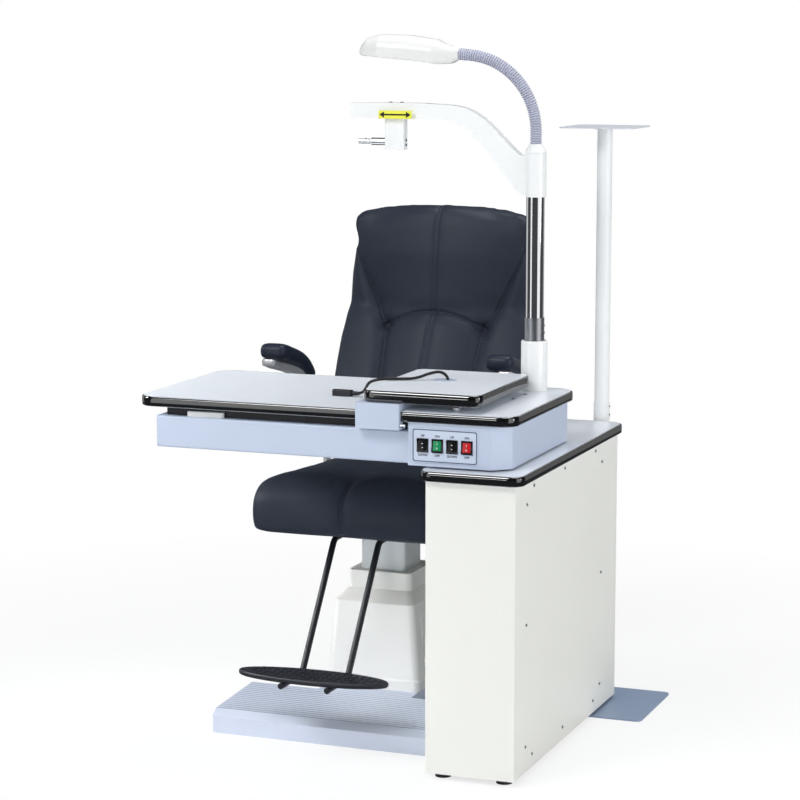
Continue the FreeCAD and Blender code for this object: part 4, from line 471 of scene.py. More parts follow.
def object_from(made, name):
    """A new object that takes over a bmesh."""
    mesh = bpy.data.meshes.new(name)
    made.to_mesh(mesh)
    made.free()
    piece = bpy.data.objects.new(name, mesh)
    scene.collection.objects.link(piece)
    return piece


def skin(name):
    """A welded copy of a CAD node's mesh as a new object."""
    made = bmesh.new()
    made.from_mesh(nodes[name].data)
    bmesh.ops.remove_doubles(made, verts=made.verts, dist=1e-5)
    return object_from(made, name + "_skin")


def rounded(piece):
    """Shade a piece smooth all over."""
    only(piece)
    bpy.ops.object.shade_smooth()
    return piece


def points_of(mesh, kind="co"):
    flat = np.empty(len(mesh.vertices) * 3)
    mesh.vertices.foreach_get(kind, flat)
    return flat.reshape(-1, 3)


def normals_of(mesh):
    return points_of(mesh, "normal")


def move_points(mesh, points):
    mesh.vertices.foreach_set("co", points.ravel())
    mesh.update()


def line_distance(points, line):
    """Distance from each point to a broken line, both in the same plane."""
    best = np.full(len(points), 9.0)
    for first, second in zip(line, line[1:]):
        first, run = np.array(first), np.subtract(second, first)
        share = np.clip((points - first) @ run / (run @ run), 0, 1)
        best = np.minimum(best, np.linalg.norm(points - first - share[:, None] * run, axis=1))
    return best


CLOTH_FRAMES = 20
FROM_TOP, FROM_FRONT = ([0, 1], (0, 0, 1)), ([0, 2], (0, -1, 0))


def swell(piece, voxel, shrink, pressure, cap, held):
    """Remesh a skin and let pressure swell it while the held points stay."""
    applied(piece, "REMESH", mode="VOXEL", voxel_size=voxel, use_smooth_shade=True)
    applied(piece, "SMOOTH", iterations=9, factor=0.5)
    mesh = piece.data
    points = points_of(mesh) - normals_of(mesh) * shrink
    move_points(mesh, points)
    group = piece.vertex_groups.new(name="sewn")
    for number, weight in enumerate(held(points, normals_of(mesh))):
        if weight > 0.02:
            group.add([number], float(weight), "REPLACE")
    applied(piece, "SMOOTH", iterations=2, factor=0.5)
    cloth = piece.modifiers.new("cloth", "CLOTH")
    setup = cloth.settings
    setup.quality = 5
    setup.mass = 0.3
    setup.use_pressure = True
    setup.uniform_pressure_force = pressure
    setup.effector_weights.gravity = 0
    setup.vertex_group_mass = "sewn"
    setup.tension_stiffness = 12
    setup.compression_stiffness = 12
    setup.bending_stiffness = 6
    cloth.point_cache.frame_start = 1
    cloth.point_cache.frame_end = CLOTH_FRAMES
    for number in range(1, CLOTH_FRAMES + 1):
        scene.frame_set(number)
    graph = bpy.context.evaluated_depsgraph_get()
    swollen = points_of(piece.evaluated_get(graph).to_mesh())
    scene.frame_set(1)
    piece.modifiers.remove(cloth)
    piece.vertex_groups.clear()
    step = swollen - points
    far = np.linalg.norm(step, axis=1, keepdims=True)
    move_points(mesh, points + step * np.minimum(1, cap / np.maximum(far, 1e-9)))


def sew(piece, line, axes, facing, width, depth):
    """Draw the skin in along a line seen in two axes, on the side that faces one way."""
    mesh = piece.data
    points, normals = points_of(mesh), normals_of(mesh)
    near = line_distance(points[:, axes], line)
    side = np.clip((normals @ np.array(facing)) * 3, 0, 1)
    pull = depth * np.exp(-(near / width) ** 2) * side
    move_points(mesh, points - normals * pull[:, None])


def stitch(piece, line, axes, facing, pitch=0.0065, long=0.0042, thick=0.0005):
    """Short threads laid along a line on the skin."""
    tree = BVHTree.FromPolygons([v.co for v in piece.data.vertices],
                                [p.vertices for p in piece.data.polygons])
    aim = Vector(facing)
    made = bmesh.new()
    for first, second in zip(line, line[1:]):
        run = Vector((*second, 0)) - Vector((*first, 0))
        for number in range(int(run.length / pitch)):
            spot = Vector((*first, 0)) + run.normalized() * pitch * (number + 0.5)
            start = Vector((0, 0, 0))
            start[axes[0]], start[axes[1]] = spot.x, spot.y
            hidden = 3 - axes[0] - axes[1]
            start[hidden] = 3 * aim[hidden]
            hit, normal = tree.ray_cast(start, -aim)[:2]
            if hit is None:
                continue
            along = Vector((0, 0, 0))
            along[axes[0]], along[axes[1]] = run.normalized().x, run.normalized().y
            along = (along - normal * along.dot(normal)).normalized()
            across = normal.cross(along)
            turn = Matrix((along, across, normal)).transposed().to_4x4()
            thread = bmesh.ops.create_icosphere(made, subdivisions=1, radius=1)
            bmesh.ops.transform(made, matrix=Matrix.Translation(hit + normal * thick * 0.2)
                                @ turn @ Matrix.Diagonal((long / 2, thick, thick, 1)),
                                verts=thread["verts"])
    threads = object_from(made, "threads")
    threads.data.polygons.foreach_set("use_smooth", [True] * len(threads.data.polygons))
    return threads


def beside(line, by):
    """A line moved to one side."""
    return [(x + by, other) for x, other in line]


thread_black = Finish("thread_black", tone(62, 67, 76), 0.6)
thread_black.bump(thread_black.noise(3000, 2), 0.0001, 0.5)


# Seat cushion
# A crowned seat with a waterfall front and one double-stitched seam down its middle.

SEAT_SEAM, FRONT_SEAM = [(0.0, -0.40), (0.0, 0.16)], [(0.0, 0.47), (0.0, 0.64)]
SEAM_HALF, SEAM_FINE, THREAD_AWAY = 0.0034, 0.0022, 0.0075
REAR_DROP, FRONT_DROP = 0.034, 0.008
CUSHION_VOXEL, CUSHION_SHRINK = 0.006, 0.003
seat = skin("seat_cushion")
seat_low, seat_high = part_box("seat_cushion")
applied(seat, "REMESH", mode="VOXEL", voxel_size=CUSHION_VOXEL)
form = points_of(seat.data)
rearward = np.clip((form[:, 1] + 0.30) / 0.28, 0, 1)
outward = np.clip((np.abs(form[:, 0]) - 0.10) / 0.147, 0, 1) ** 1.6
raised = np.clip((form[:, 2] - seat_low.z) / (seat_high.z - seat_low.z), 0, 1)
form[:, 2] -= REAR_DROP * rearward * outward * raised
form[:, 2] -= FRONT_DROP * np.clip((-0.15 - form[:, 1]) / 0.08, 0, 1) * (raised < 0.12)
move_points(seat.data, form)


def seat_held(points, normals):
    under = points[:, 2] < seat_low.z + 0.012
    seam = (np.abs(points[:, 0]) < 0.007) & (normals[:, 2] > -0.6)
    return np.where(under | seam, 1.0, 0.0)


swell(seat, CUSHION_VOXEL, CUSHION_SHRINK, 2.2, 0.006, seat_held)
applied(seat, "SMOOTH", iterations=5, factor=0.5)
applied(seat, "SUBSURF", levels=1, render_levels=1)
sew(seat, SEAT_SEAM, *FROM_TOP, 0.020, 0.0014)
for side in (-1, 1):
    sew(seat, beside(SEAT_SEAM, side * SEAM_HALF), *FROM_TOP, SEAM_FINE, SEAM_FINE)
    sew(seat, beside(FRONT_SEAM, side * SEAM_HALF), *FROM_FRONT, SEAM_FINE, SEAM_FINE)
sew(seat, FRONT_SEAM, *FROM_FRONT, 0.020, 0.0014)
fit(rounded(seat), "seat_leather", "chair", "leather", leather, "seat_cushion")
for side in (-1, 1):
    for part, line, aim in (("top", [(0, -0.28), (0, 0.10)], FROM_TOP),
                            ("front", [(0, 0.50), (0, 0.585)], FROM_FRONT)):
        fit(stitch(seat, beside(line, side * THREAD_AWAY), *aim),
            f"seat_thread_{part}_{side + 1}", "chair", "leather", thread_black)


# Backrest cushion
# A high back of four sewn panels: a wide upper pad that ends in an arch, a tapering middle
# panel under it and a wing on each side, with a double seam down the centre.

ARCH_TOP = 0.974
ARCH = [(-0.138, 0.933), (-0.118, 0.944), (-0.094, 0.956), (-0.060, 0.968), (-0.025, ARCH_TOP),
        (0.025, ARCH_TOP), (0.060, 0.968), (0.094, 0.956), (0.118, 0.944), (0.138, 0.933)]
WING = [(0.262, 1.170), (0.250, 1.150), (0.237, 1.128), (0.222, 1.098), (0.205, 1.062),
        (0.188, 1.025), (0.172, 0.992), (0.158, 0.965), (0.146, 0.944), (0.138, 0.933)]
WAIST = [(0.138, 0.933), (0.135, 0.900), (0.131, 0.850), (0.126, 0.800), (0.121, 0.740),
         (0.116, 0.680), (0.112, 0.620)]
back = skin("backrest_cushion")
crown = points_of(back.data)
rise = np.interp(np.abs(crown[:, 0]), (0, 0.05, 0.09, 0.13, 0.149, 0.171, 0.19, 0.21, 0.229,
                                       0.248),
                 (0.002, 0.0015, -0.001, -0.0045, -0.0075, -0.006, -0.0055, 0.004, 0.010, 0.020))
crown[:, 2] += rise * np.clip((crown[:, 2] - 1.10) / 0.11, 0, 1)
crown[:, 0] *= np.interp(crown[:, 2], (0.6, 0.9, 1.2), (1.05, 1.045, 1.03))
move_points(back.data, crown)


def mirrored(line):
    return [(-x, z) for x, z in line]


BACK_SEAMS = [ARCH, WING, mirrored(WING), WAIST, mirrored(WAIST)]


def back_held(points, normals):
    flat = points[:, [0, 2]]
    near = np.min([line_distance(flat, line) for line in BACK_SEAMS], axis=0)
    sewn = (near < 0.008) & (normals[:, 1] < 0)
    middle = (np.abs(points[:, 0]) < 0.006) & (normals[:, 1] < 0)
    rear = normals[:, 1] > 0.35
    return np.where(sewn | rear, 1.0, np.where(middle, 0.9, 0.0))


swell(back, CUSHION_VOXEL, CUSHION_SHRINK, 2.6, 0.008, back_held)
applied(back, "SMOOTH", iterations=4, factor=0.5)
applied(back, "SUBSURF", levels=1, render_levels=1)
for line in BACK_SEAMS:
    sew(back, line, *FROM_FRONT, 0.020, 0.006)
    sew(back, line, *FROM_FRONT, 0.0045, 0.006)
sew(back, [(0, 0.60), (0, 1.27)], *FROM_FRONT, 0.020, 0.0028)
for side in (-1, 1):
    for line in ([(side * 0.0075, 0.60), (side * 0.0055, ARCH_TOP)],
                 [(side * 0.0045, ARCH_TOP), (side * 0.0045, 1.27)]):
        sew(back, line, *FROM_FRONT, 0.0026, 0.0026)
fit(rounded(back), "back_leather", "chair", "leather", leather, "backrest_cushion")


def offset(line, by):
    """A copy of a broken line moved sideways."""
    moved = []
    for number, point in enumerate(line):
        before, after = line[max(number - 1, 0)], line[min(number + 1, len(line) - 1)]
        run = Vector((after[0] - before[0], after[1] - before[1])).normalized()
        moved.append((point[0] - run.y * by, point[1] + run.x * by))
    return moved


for number, line in enumerate(BACK_SEAMS):
    inward = -0.007 if number % 2 else 0.007
    fit(stitch(back, offset(line[1:-1], inward), *FROM_FRONT),
        f"back_thread_{number}", "chair", "leather", thread_black)
for side in (-1, 1):
    for part, line in (("low", [(side * 0.0115, 0.64), (side * 0.0095, 0.960)]),
                       ("high", [(side * 0.0088, 0.985), (side * 0.0088, 1.22)])):
        fit(stitch(back, line, *FROM_FRONT), f"back_thread_{part}_{side + 1}", "chair",
            "leather", thread_black)
dress(moulded_black, "back_shell")


# Armrests
# Soft moulded pads on cast bars with a bright polish; each pivots on a pin through the post.
# Forward of the pivot the bar is nearly as wide as its pad.

pad_skin = Finish("pad_skin", tone(33, 40, 55), 0.40, Specular_IOR_Level=0.3)
pad_skin.bump(pad_skin.cells(600), 0.0003, 0.25, pad_skin.bump(pad_skin.noise(60, 3), 0.0006, 0.2))
pad_skin.shades(pad_skin.noise(12, 3), 0.85, 1.2)
for side in ("left", "right"):
    pad = skin("armrest_pad_" + side)
    applied(pad, "REMESH", mode="VOXEL", voxel_size=0.004, use_smooth_shade=True)
    applied(pad, "SMOOTH", iterations=50, factor=0.6)
    applied(pad, "DISPLACE", strength=0.0028, mid_level=0)
    applied(pad, "SUBSURF", levels=1, render_levels=1)
    fit(rounded(pad), f"armrest_pad_{side}_soft", side + "_armrest", "black_plastic", pad_skin,
        "armrest_pad_" + side)

polished_cast = Finish("polished_cast", tone(214, 217, 221), 0.24, Metallic=0.6)
polished_cast.set("Roughness", 0.22 + 0.05 * polished_cast.noise(12, 2))
polished_cast.bump(polished_cast.noise(60, 2), 0.0001, 0.1)
dress(polished_cast, "armrest_post_left", "armrest_post_right")
PIVOT_CLEAR, BAR_SHARE, BAR_FORWARD, FINE_VOXEL = 0.09, 0.92, 0.006, 0.0022
for side in ("left", "right"):
    bar = skin("armrest_base_" + side)
    applied(bar, "REMESH", mode="VOXEL", voxel_size=FINE_VOXEL, use_smooth_shade=True)
    bar_low, bar_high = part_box("armrest_base_" + side)
    pad_low, pad_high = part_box("armrest_pad_" + side)
    form = points_of(bar.data)
    forward = np.clip((PIVOT_CLEAR - form[:, 1]) / PIVOT_CLEAR, 0, 1)
    from_middle = (form[:, 0] - (bar_low.x + bar_high.x) / 2) / (bar_high.x - bar_low.x)
    widened = (pad_low.x + pad_high.x) / 2 + from_middle * (pad_high.x - pad_low.x) * BAR_SHARE
    form[:, 0] += (widened - form[:, 0]) * forward
    form[:, 1] -= BAR_FORWARD * forward
    move_points(bar.data, form)
    applied(bar, "SMOOTH", iterations=24, factor=0.5)
    applied(bar, "DISPLACE", strength=0.0008, mid_level=0)
    move_points(bar.data, form + (points_of(bar.data) - form) * forward[:, None])
    fit(rounded(bar), "armrest_bar_" + side, side + "_armrest", "cast_silver", polished_cast,
        "armrest_base_" + side)


# Cabinet
# Folded sheet steel in cream powder coat with a lift-off side panel on crossed screws; it
# stands on round rubber feet.

tread_rubber = coated("tread_rubber", tone(32, 35, 43), 0.50, (900, 0.0003, 0.35),
                      ((16, 4), 0.85, 1.3), (0.44, 0.22, (25, 3)))
dress(tread_rubber, "cabinet_feet")
cabinet_paint = coated("cabinet_paint", tone(238, 238, 232), 0.36, (420, 0.0002, 0.22),
                       ((3, 4), 0.97, 1.01), (0.32, 0.12, (12, 3)))
dress(cabinet_paint, "cabinet_body", "cabinet_side_panel")


# Worktop and table board
# Laminated boards, pale blue grey with a fine speckle, edged in glossy black plastic whose
# face is crowned across its height.

laminate = Finish("laminate", tone(225, 230, 237), 0.30)
laminate.shades(0.55 * laminate.noise(900, 2) + 0.45 * laminate.noise(5, 4), 0.95, 1.03)
laminate.bump(laminate.noise(700, 3), 0.00015, 0.3)
laminate.set("Roughness", 0.24 + 0.14 * laminate.noise(18, 4))
dress(laminate, "worktop", "table_board", "instrument_platform")

EDGE_CROWN = 0.040
for node, body in (("worktop_edging", "stand"), ("table_edging", "table"),
                   ("platform_edging", "platform")):
    low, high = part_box(node)
    gloss_edge = Finish(node + "_gloss", tone(10, 11, 14), 0.08, IOR=1.7, Specular_IOR_Level=1.0)
    gloss_edge.set("Roughness", 0.05 + 0.06 * gloss_edge.noise(25, 4))
    above = gloss_edge.node("SeparateXYZ", {}, {"Vector": gloss_edge.place}, 2)
    above = above + (low.z + high.z) / -2
    gloss_edge.bump(above * above * -1.0, 0.5 / EDGE_CROWN)
    strip = skin(node)
    applied(strip, "REMESH", mode="VOXEL", voxel_size=FINE_VOXEL, use_smooth_shade=True)
    applied(strip, "SMOOTH", iterations=16, factor=0.5)
    applied(strip, "DISPLACE", strength=0.0007, mid_level=0)
    fit(rounded(strip), node + "_strip", body, "black_edge", gloss_edge, node)


# Table
# Housing and beam are folded sheet in pale blue paint; a black moulded rail lies between
# the beam and the board, and the white lever turns the swing brake.

blue_sheet = coated("blue_sheet", tone(192, 203, 223), 0.36, (430, 0.0002, 0.22),
                    ((4, 4), 0.96, 1.02), (0.30, 0.14, (11, 3)))
dress(blue_sheet, "turret_housing", "table_beam", "carriage_block")
panel_sheet = coated("panel_sheet", tone(202, 213, 232), 0.34,
                     ((220, 2), 0.0002, 0.2), ((9, 3), 0.98, 1.01))
dress(panel_sheet, "switch_plate")
dress(moulded_black, "table_rail")
grommet_grey = coated("grommet_grey", tone(186, 195, 212), 0.4,
                      ((900, 2), 0.0002, 0.3), ((40, 2), 0.93, 1.04))
dress(grommet_grey, "cable_grommet")

white_moulding = coated("white_moulding", tone(236, 237, 237), 0.28,
                        ((300, 3), 0.0002, 0.25), ((9, 3), 0.96, 1.02))
dress(white_moulding, "brake_lever")


# Rocker switches
# Each rocker is black plastic; the cap on it, made with the switch panel, has its colour.

switch_black, switch_green, switch_red = (
    coated(name, colour, rough, ((900, 3), 0.0001, 0.3), ((60, 3), 0.92, 1.06))
    for name, colour, rough in (("switch_black", tone(15, 16, 19), 0.26),
                                ("switch_green", tone(16, 138, 88), 0.24),
                                ("switch_red", tone(196, 26, 32), 0.24)))
dress(switch_black, "rocker_table", "rocker_lamp", "rocker_chair", "rocker_power")


# Pole, arm and lamp
# Chromed tube in a white sleeve; the arm, bracket and tubes are white enamel on steel.

chrome = Finish("chrome", tone(236, 238, 240), 0.06, Metallic=1.0)
chrome.set("Roughness", 0.04 + 0.06 * chrome.noise(40, 4))
dress(chrome, "chrome_pole", "refractor_pin", "platform_rollers", "carriage_lock_screw")
dress(plain_steel, "clamp_collar")

white_enamel = coated("white_enamel", tone(241, 243, 243), 0.22, ((260, 3), 0.0002, 0.2),
                      ((6, 3), 0.975, 1.01), (0.18, 0.10, (16, 3)))
dress(white_enamel, "pole_sleeve", "refractor_arm", "refractor_bracket", "lamp_socket",
      "projector_lower_tube", "projector_pole")

tray_paint = coated("tray_paint", tone(214, 217, 224), 0.34,
                    (500, 0.0002, 0.25), ((8, 3), 0.95, 1.03))
dress(tray_paint, "projector_plate")


# Gooseneck
# A flexible hose of pressed rings in satin lavender grey; one ring is drawn, repeated
# along the length and bent over the same bow as the solid.

satin_ring = Finish("satin_ring", tone(186, 189, 206), 0.42, Metallic=0.1)
satin_ring.set("Roughness", 0.38 + 0.10 * satin_ring.noise(60, 3))
satin_ring.shades(satin_ring.noise(45, 3), 0.9, 1.08)
RING_PITCH, RINGS, HOSE_THIN = 0.0058, 56, 0.0112
BOW_MIDDLE, BOW_RADIUS = (0.269, 1.479), 0.181
ARM_LINE = -0.205
bpy.ops.object.select_all(action="DESELECT")
bpy.ops.mesh.primitive_circle_add(vertices=28, radius=HOSE_THIN, location=(0, 0, 0))
hose = bpy.context.object
bpy.ops.object.mode_set(mode="EDIT")
across = HOSE_THIN
for rise, wider in ((0.14, 0.0114), (0.08, 0.0130), (0.12, 0.0139), (0.16, 0.0142),
                    (0.16, 0.0142), (0.12, 0.0139), (0.08, 0.0130), (0.14, HOSE_THIN)):
    bpy.ops.mesh.extrude_region_move(
        TRANSFORM_OT_translate={"value": (0, 0, RING_PITCH * rise)})
    bpy.ops.transform.resize(value=(wider / across, wider / across, 1))
    across = wider
bpy.ops.object.mode_set(mode="OBJECT")
applied(hose, "ARRAY", count=RINGS, use_relative_offset=False, use_constant_offset=True,
        constant_offset_displace=(0, 0, RING_PITCH), use_merge_vertices=True,
        merge_threshold=0.0001)
path = [(0.450, ARM_LINE, 1.451), (0.450, ARM_LINE, 1.4645)]
path += [(BOW_MIDDLE[0] + BOW_RADIUS * math.cos(turn), ARM_LINE,
          BOW_MIDDLE[1] + BOW_RADIUS * math.sin(turn))
         for turn in np.radians(np.linspace(0, 85, 40))]
path += [(0.2568, ARM_LINE, 1.66175)]
guide = curve_through("hose_bow", "POLY", path)
applied(hose, "CURVE", object=guide, deform_axis="POS_Z")
bpy.data.objects.remove(guide)
smooth(hose, 60)
fit(hose, "gooseneck_hose", "lamp", "chrome", satin_ring, "gooseneck")


# Lamp shade
# A moulded white shell with soft edges round a milky lens; the shell is remeshed from the
# solid so that its surface runs smoothly from the neck to the tip.

NECK = np.array((0.2569, ARM_LINE, 1.6618))
ALONG, UP = np.array((-0.9962, 0, 0.0872)), np.array((0.0872, 0, 0.9962))


def fuller(piece):
    """The neck of the lamp filled out, and its body set a little lower and nearer."""
    points = points_of(piece.data) - NECK
    along, up, side = points @ ALONG, points @ UP, points[:, 1]
    full = 1 + 0.55 * np.exp(-((along - 0.022) / 0.013) ** 2)
    drop = -0.0065 * np.clip(along / 0.05, 0, 1)
    points = NECK + np.outer(along * 0.963, ALONG) + np.outer(up * full + drop, UP)
    points[:, 1] += side * full
    move_points(piece.data, points)


shell = skin("lamp_shade")
applied(shell, "REMESH", mode="VOXEL", voxel_size=FINE_VOXEL, use_smooth_shade=True)
fuller(shell)
applied(shell, "SMOOTH", iterations=24, factor=0.5)
lens = skin("lamp_diffuser")
fuller(lens)
shade_plastic = coated("shade_plastic", tone(229, 230, 228), 0.26,
                       ((500, 3), 0.0001, 0.2), ((8, 3), 0.975, 1.01))
fit(rounded(shell), "lamp_shell", "lamp", "white_plastic", shade_plastic, "lamp_shade")
milk = coated("milk", tone(244, 244, 238), 0.35, ((700, 2), 0.0001, 0.3), ((20, 2), 0.97, 1.0))
fit(smooth(lens), "lamp_lens", "lamp", "lens", milk, "lamp_diffuser")


# Screw heads
# Small pan heads with a cross recess, drawn once and copied to each place.

def box_at(low, high):
    """A box between two corners."""
    bpy.ops.object.select_all(action="DESELECT")
    middle = (Vector(low) + Vector(high)) / 2
    bpy.ops.mesh.primitive_cube_add(size=1, location=middle)
    made = bpy.context.object
    made.scale = Vector(high) - Vector(low)
    return settle(made)


def copied(piece):
    """A copy of a piece with a mesh of its own."""
    copy = piece.copy()
    copy.data = piece.data.copy()
    scene.collection.objects.link(copy)
    return copy


def joined(pieces):
    """Several objects made into the first."""
    bpy.ops.object.select_all(action="DESELECT")
    for piece in pieces:
        piece.select_set(True)
    bpy.context.view_layer.objects.active = pieces[0]
    bpy.ops.object.join()
    return pieces[0]


head = round_bar((0, 0, -0.0004), (0, 0, 1), 0.0074, 0.0026, 28)
applied(head, "BEVEL", width=0.0009, segments=3, limit_method="ANGLE")
for turn in ((0.0023, 0.00045), (0.00045, 0.0023)):
    slot = box_at((-turn[0], -turn[1], 0.0012), (turn[0], turn[1], 0.004))
    applied(head, "BOOLEAN", object=slot, operation="DIFFERENCE", solver="EXACT")
    bpy.data.objects.remove(slot)
smooth(head, 30)


def screws(name, body, slot, finish, places, aim, size=1.0, *stands_for):
    """Copies of the screw head at places that face one way, as one piece."""
    copies = []
    face = Vector(aim).normalized()
    for number, place in enumerate(places):
        copy = copied(head)
        spin = Matrix.Rotation(math.radians(23 + 31 * number), 4, "Z")
        stand = Vector((0, 0, 1)).rotation_difference(face).to_matrix().to_4x4()
        copy.data.transform(Matrix.Translation(place) @ stand @ spin @ Matrix.Scale(size, 4))
        copies.append(copy)
    return fit(joined(copies), name, body, slot, finish, *stands_for)


PANEL_FACE, PANEL_REACH, PANEL_LOW = 0.5502, -0.640, 0.013
PANEL_DEEP, PANEL_TALL = 0.8215, 0.690
spots = [(along, up) for along in (0.16, 0.45, 0.76) for up in (0.047, 0.973)]
spots += [(along, up) for along in (0.10, 0.83) for up in (0.09, 0.51, 0.92)]
screws("panel_screws", "stand", "steel", plain_steel,
       [(PANEL_FACE, along * PANEL_DEEP + PANEL_REACH, PANEL_LOW + up * PANEL_TALL)
        for along, up in spots],
       (1, 0, 0), 1.0, "cabinet_screws")
arm_low, arm_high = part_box("refractor_arm")
screws("arm_screws", "arm", "steel", plain_steel,
       [(along, ARM_LINE, arm_high.z) for along in (0.079, 0.108)], (0, 0, 1), 1.15)
bracket_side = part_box("refractor_bracket")[1].x
screws("bracket_screws", "arm_carriage", "steel", plain_steel,
       [(bracket_side, ARM_LINE, up) for up in (1.4535, 1.4425)], (1, 0, 0), 0.95)
collar_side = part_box("clamp_collar")[1].x - 0.0003
screws("collar_screws", "table_lifter", "steel", plain_steel,
       [(collar_side, ARM_LINE, up) for up in (1.017, 0.999)], (1, 0, 0), 0.9)
tube_low, tube_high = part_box("projector_lower_tube")
screws("tube_screws", "stand", "steel", plain_steel,
       [(tube_high.x - 0.0002, (tube_low.y + tube_high.y) / 2, up) for up in (0.763, 0.741)],
       (1, 0, 0), 0.8)
board_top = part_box("table_board")[1].z
screws("board_screws", "table", "steel", plain_steel,
       [(0.4505, -0.362, board_top), (0.453, -0.279, board_top)], (0, 0, 1), 1.2)
bpy.data.objects.remove(head)


# Direction label
# A yellow vinyl strip on the front of the arm with a black double arrow, which shows that
# the bracket slides both ways.

yellow_vinyl = coated("yellow_vinyl", tone(240, 238, 72), 0.32,
                      ((600, 2), 0.0001, 0.2), ((90, 3), 0.93, 1.04))
front = arm_low.y
label = box_at((0.057, front - 0.0005, 1.5062), (0.143, front + 0.0003, 1.5258))
applied(label, "BEVEL", width=0.0016, segments=3, limit_method="ANGLE")
fit(smooth(label), "arm_label", "arm", "white_paint", yellow_vinyl)
print_black = Finish("print_black", tone(22, 22, 22), 0.5)
print_black.shades(print_black.noise(500, 2), 0.8, 1.3)
print_black.set("Roughness", 0.42 + 0.2 * print_black.noise(200, 2))


def arrow_head(place, aim, axis, size, thick):
    """A flat three-sided arrow head that points along aim and lies across axis."""
    point = Vector(aim).normalized() * size
    wing = Vector(axis).cross(point) * 0.62
    lift = Vector(axis).normalized() * thick
    spot = Vector(place)
    corners = [spot + point, spot + wing, spot - wing]
    made = bmesh.new()
    rows = [[made.verts.new(corner + up) for corner in corners] for up in (-lift, lift)]
    made.faces.new(rows[0])
    made.faces.new(rows[1])
    for number in range(3):
        after = (number + 1) % 3
        made.faces.new((rows[0][number], rows[0][after], rows[1][after], rows[1][number]))
    bmesh.ops.recalc_face_normals(made, faces=made.faces)
    return object_from(made, "arrow")


ink = front - 0.0006
marks = [arrow_head((0.0715, ink, 1.516), (-1, 0, 0), (0, 1, 0), 0.0120, 0.0002),
         arrow_head((0.1285, ink, 1.516), (1, 0, 0), (0, 1, 0), 0.0120, 0.0002),
         box_at((0.0712, ink - 0.0002, 1.5141), (0.1288, ink + 0.0002, 1.5179))]
fit(joined(marks), "arm_arrow", "arm", "white_paint", print_black)


# Switch panel
# A thin dark frame of painted shade runs round the panel for the shadow in its gap; each
# rocker has a coloured or black cap with a raised lip, white marks on it, and its words
# printed above and below.

RIM_INSET, RIM_WIDE = 0.0014, 0.0042
# Painted shade: the dark frame inside the panel's border stands for the shadow in the gap round
# the panel.
gap_shade_paint = Finish("gap_shade_paint", tone(84, 93, 114), 0.6)
gap_shade_paint.shades(gap_shade_paint.noise(300, 2), 0.85, 1.15)
plate_low, plate_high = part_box("switch_plate")
face = plate_low.y
rim = box_at((plate_low.x + RIM_INSET, face - 0.0006, plate_low.z + RIM_INSET),
             (plate_high.x - RIM_INSET, face + 0.0008, plate_high.z - RIM_INSET))
only(rim)
bpy.ops.object.mode_set(mode="EDIT")
bpy.ops.mesh.select_mode(type="EDGE")
bpy.ops.mesh.select_all(action="DESELECT")
bpy.ops.object.mode_set(mode="OBJECT")
for edge in rim.data.edges:
    ends = [rim.data.vertices[number].co for number in edge.vertices]
    edge.select = abs(ends[0].y - ends[1].y) > 0.0005
bpy.ops.object.mode_set(mode="EDIT")
bpy.ops.mesh.bevel(offset=0.0045, segments=6)
bpy.ops.object.mode_set(mode="OBJECT")
hole = copied(rim)
middle = (Vector(plate_low) + Vector(plate_high)) / 2
middle.y = face
wide = plate_high.x - plate_low.x - 2 * RIM_INSET
tall = plate_high.z - plate_low.z - 2 * RIM_INSET
for vertex in hole.data.vertices:
    away = vertex.co - middle
    vertex.co.x = middle.x + away.x * (wide - RIM_WIDE) / wide
    vertex.co.z = middle.z + away.z * (tall - RIM_WIDE) / tall
    vertex.co.y = middle.y + away.y * 4
applied(rim, "BOOLEAN", object=hole, operation="DIFFERENCE", solver="EXACT")
bpy.data.objects.remove(hole)
fit(rim, "switch_gap_shade", "table", "blue_sheet", gap_shade_paint)


def cut_off(piece, at, beyond):
    """Cut away what lies past a plane and close the cut."""
    only(piece)
    bpy.ops.object.mode_set(mode="EDIT")
    bpy.ops.mesh.select_all(action="SELECT")
    bpy.ops.mesh.bisect(plane_co=at, plane_no=beyond, use_fill=True, clear_outer=True)
    bpy.ops.object.mode_set(mode="OBJECT")


def words(text, place, name):
    """Flat raised letters on the panel's upright face."""
    bpy.ops.object.select_all(action="DESELECT")
    bpy.ops.object.text_add(location=place, rotation=(math.radians(90), 0, 0))
    made = bpy.context.object
    made.data.body = text
    made.data.size = 0.0070
    made.data.extrude = 0.0001
    made.data.offset = 0.0002
    made.data.align_x = "CENTER"
    made.data.align_y = "CENTER"
    bpy.ops.object.convert(target="MESH")
    return fit(settle(bpy.context.object), name, "table", "blue_sheet", print_black)


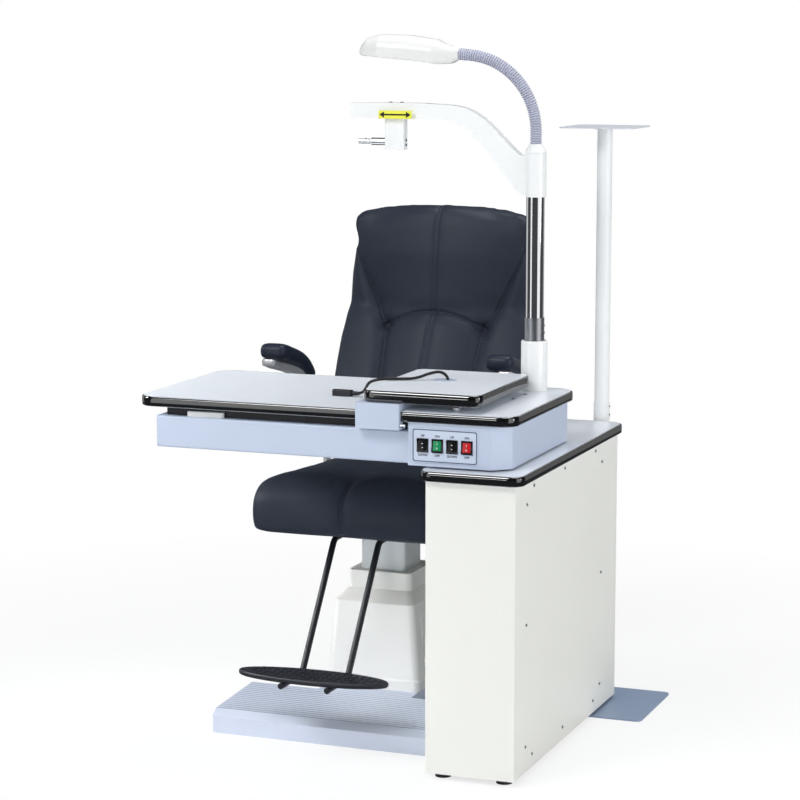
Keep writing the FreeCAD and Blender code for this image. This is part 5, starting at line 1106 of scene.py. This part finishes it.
white_print = Finish("white_print", tone(226, 228, 230), 0.4)
white_print.shades(white_print.noise(900, 2), 0.9, 1.05)
CAP_WIDE, CAP_TALL, CAP_LIP = 0.70, 0.74, 0.0009
MARK_RISE, WORD_INSET, INK = 0.0052, 0.0165, 0.0001
for device, above, below, cap_finish, slot in (
        ("table", "UP", "DOWN", switch_black, "black_switch"),
        ("lamp", "ON", "OFF", switch_green, "green_switch"),
        ("chair", "UP", "DOWN", switch_black, "black_switch"),
        ("power", "ON", "OFF", switch_red, "red_switch")):
    node, body = "rocker_" + device, device + "_rocker"
    low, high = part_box(node)
    centre = (low + high) / 2
    cap = skin(node)
    for vertex in cap.data.vertices:
        vertex.co.x = centre.x + (vertex.co.x - centre.x) * CAP_WIDE
        vertex.co.z = centre.z + (vertex.co.z - centre.z) * CAP_TALL
        vertex.co.y -= CAP_LIP
    cut_off(cap, (0, face + 0.0004, 0), (0, 1, 0))
    applied(cap, "BEVEL", width=0.0006, segments=2, limit_method="ANGLE")
    fit(smooth(cap, 30), node + "_cap", body, slot, cap_finish)
    tree = BVHTree.FromPolygons([v.co for v in cap.data.vertices],
                                [list(each.vertices) for each in cap.data.polygons])
    marks = []
    for rise in (MARK_RISE, -MARK_RISE):
        hit, normal = tree.ray_cast(Vector((centre.x, face - 0.1, centre.z + rise)),
                                    Vector((0, 1, 0)))[:2]
        if above == "UP":
            aim = Vector((0, 0, 1 if rise > 0 else -1))
            marks.append(arrow_head(hit - aim * 0.0014, aim, normal, 0.0032, 0.00015))
        elif rise > 0:
            marks.append(box_at(hit - Vector((0.0005, 0.0001, 0.0021)),
                                hit + Vector((0.0005, 0.0002, 0.0021))))
        else:
            bpy.ops.object.select_all(action="DESELECT")
            bpy.ops.mesh.primitive_torus_add(
                major_radius=0.0017, minor_radius=0.0004, major_segments=28, minor_segments=6,
                location=hit, rotation=Vector((0, 0, 1)).rotation_difference(normal).to_euler())
            marks.append(settle(bpy.context.object))
    fit(joined(marks), node + "_marks", body, slot, white_print)
    words(above, (centre.x, face - INK, plate_high.z - WORD_INSET), node + "_word_above")
    words(below, (centre.x, face - INK, plate_low.z + WORD_INSET), node + "_word_below")


# Footrest rods
# Two bent steel tubes in black powder coat, drawn at the thickness that the photo shows and
# cut where they end under the tread.

ROD_END = -0.578
rods = skin("footrest_rods")
applied(rods, "DISPLACE", strength=0.0013, mid_level=0)
cut_off(rods, (0, ROD_END, 0), (0, -1, 0))
fit(smooth(rods), "footrest_tubes", "chair", "black_paint", black_powder, "footrest_rods")


# Footrest tread
# A moulded rubber tread on the rods, with raised lozenges two ways round in turn, drawn
# once and copied.

TREAD_SHARE, LOZENGE_ALONG, LOZENGE_ACROSS = 0.76, 0.0172, 0.0128
grip = box_at((-0.0075, -0.0022, -0.001), (0.0075, 0.0022, 0.0017))
applied(grip, "BEVEL", width=0.0012, segments=2, limit_method="ANGLE")
smooth(grip)
tread = skin("footrest_plate")
tread_low, tread_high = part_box("footrest_plate")
plan = points_of(tread.data)
plan[:, 1] = tread_high.y + (plan[:, 1] - tread_high.y) * TREAD_SHARE
move_points(tread.data, plan)
applied(tread, "BEVEL", width=0.0015, segments=3, limit_method="ANGLE")
fit(smooth(tread, 40), "footrest_tread", "chair", "black_rubber", tread_rubber, "footrest_plate")
tread_low.y = tread_high.y + (tread_low.y - tread_high.y) * TREAD_SHARE
centre = (tread_low + tread_high) / 2
half_long, half_deep = (tread_high.x - tread_low.x) / 2, (tread_high.y - tread_low.y) / 2
grips = []
for row in range(-4, 5):
    for column in range(-11, 12):
        x, y = column * LOZENGE_ALONG, row * LOZENGE_ACROSS
        if (x / (half_long - 0.014)) ** 2 + (y / (half_deep - 0.012)) ** 2 > 1:
            continue
        copy = copied(grip)
        turn = math.radians(45 if (row + column) % 2 else -45)
        copy.data.transform(Matrix.Translation((centre.x + x, centre.y + y, tread_high.z))
                            @ Matrix.Rotation(turn, 4, "Z"))
        grips.append(copy)
bpy.data.objects.remove(grip)
fit(joined(grips), "footrest_grips", "chair", "black_rubber", tread_rubber)
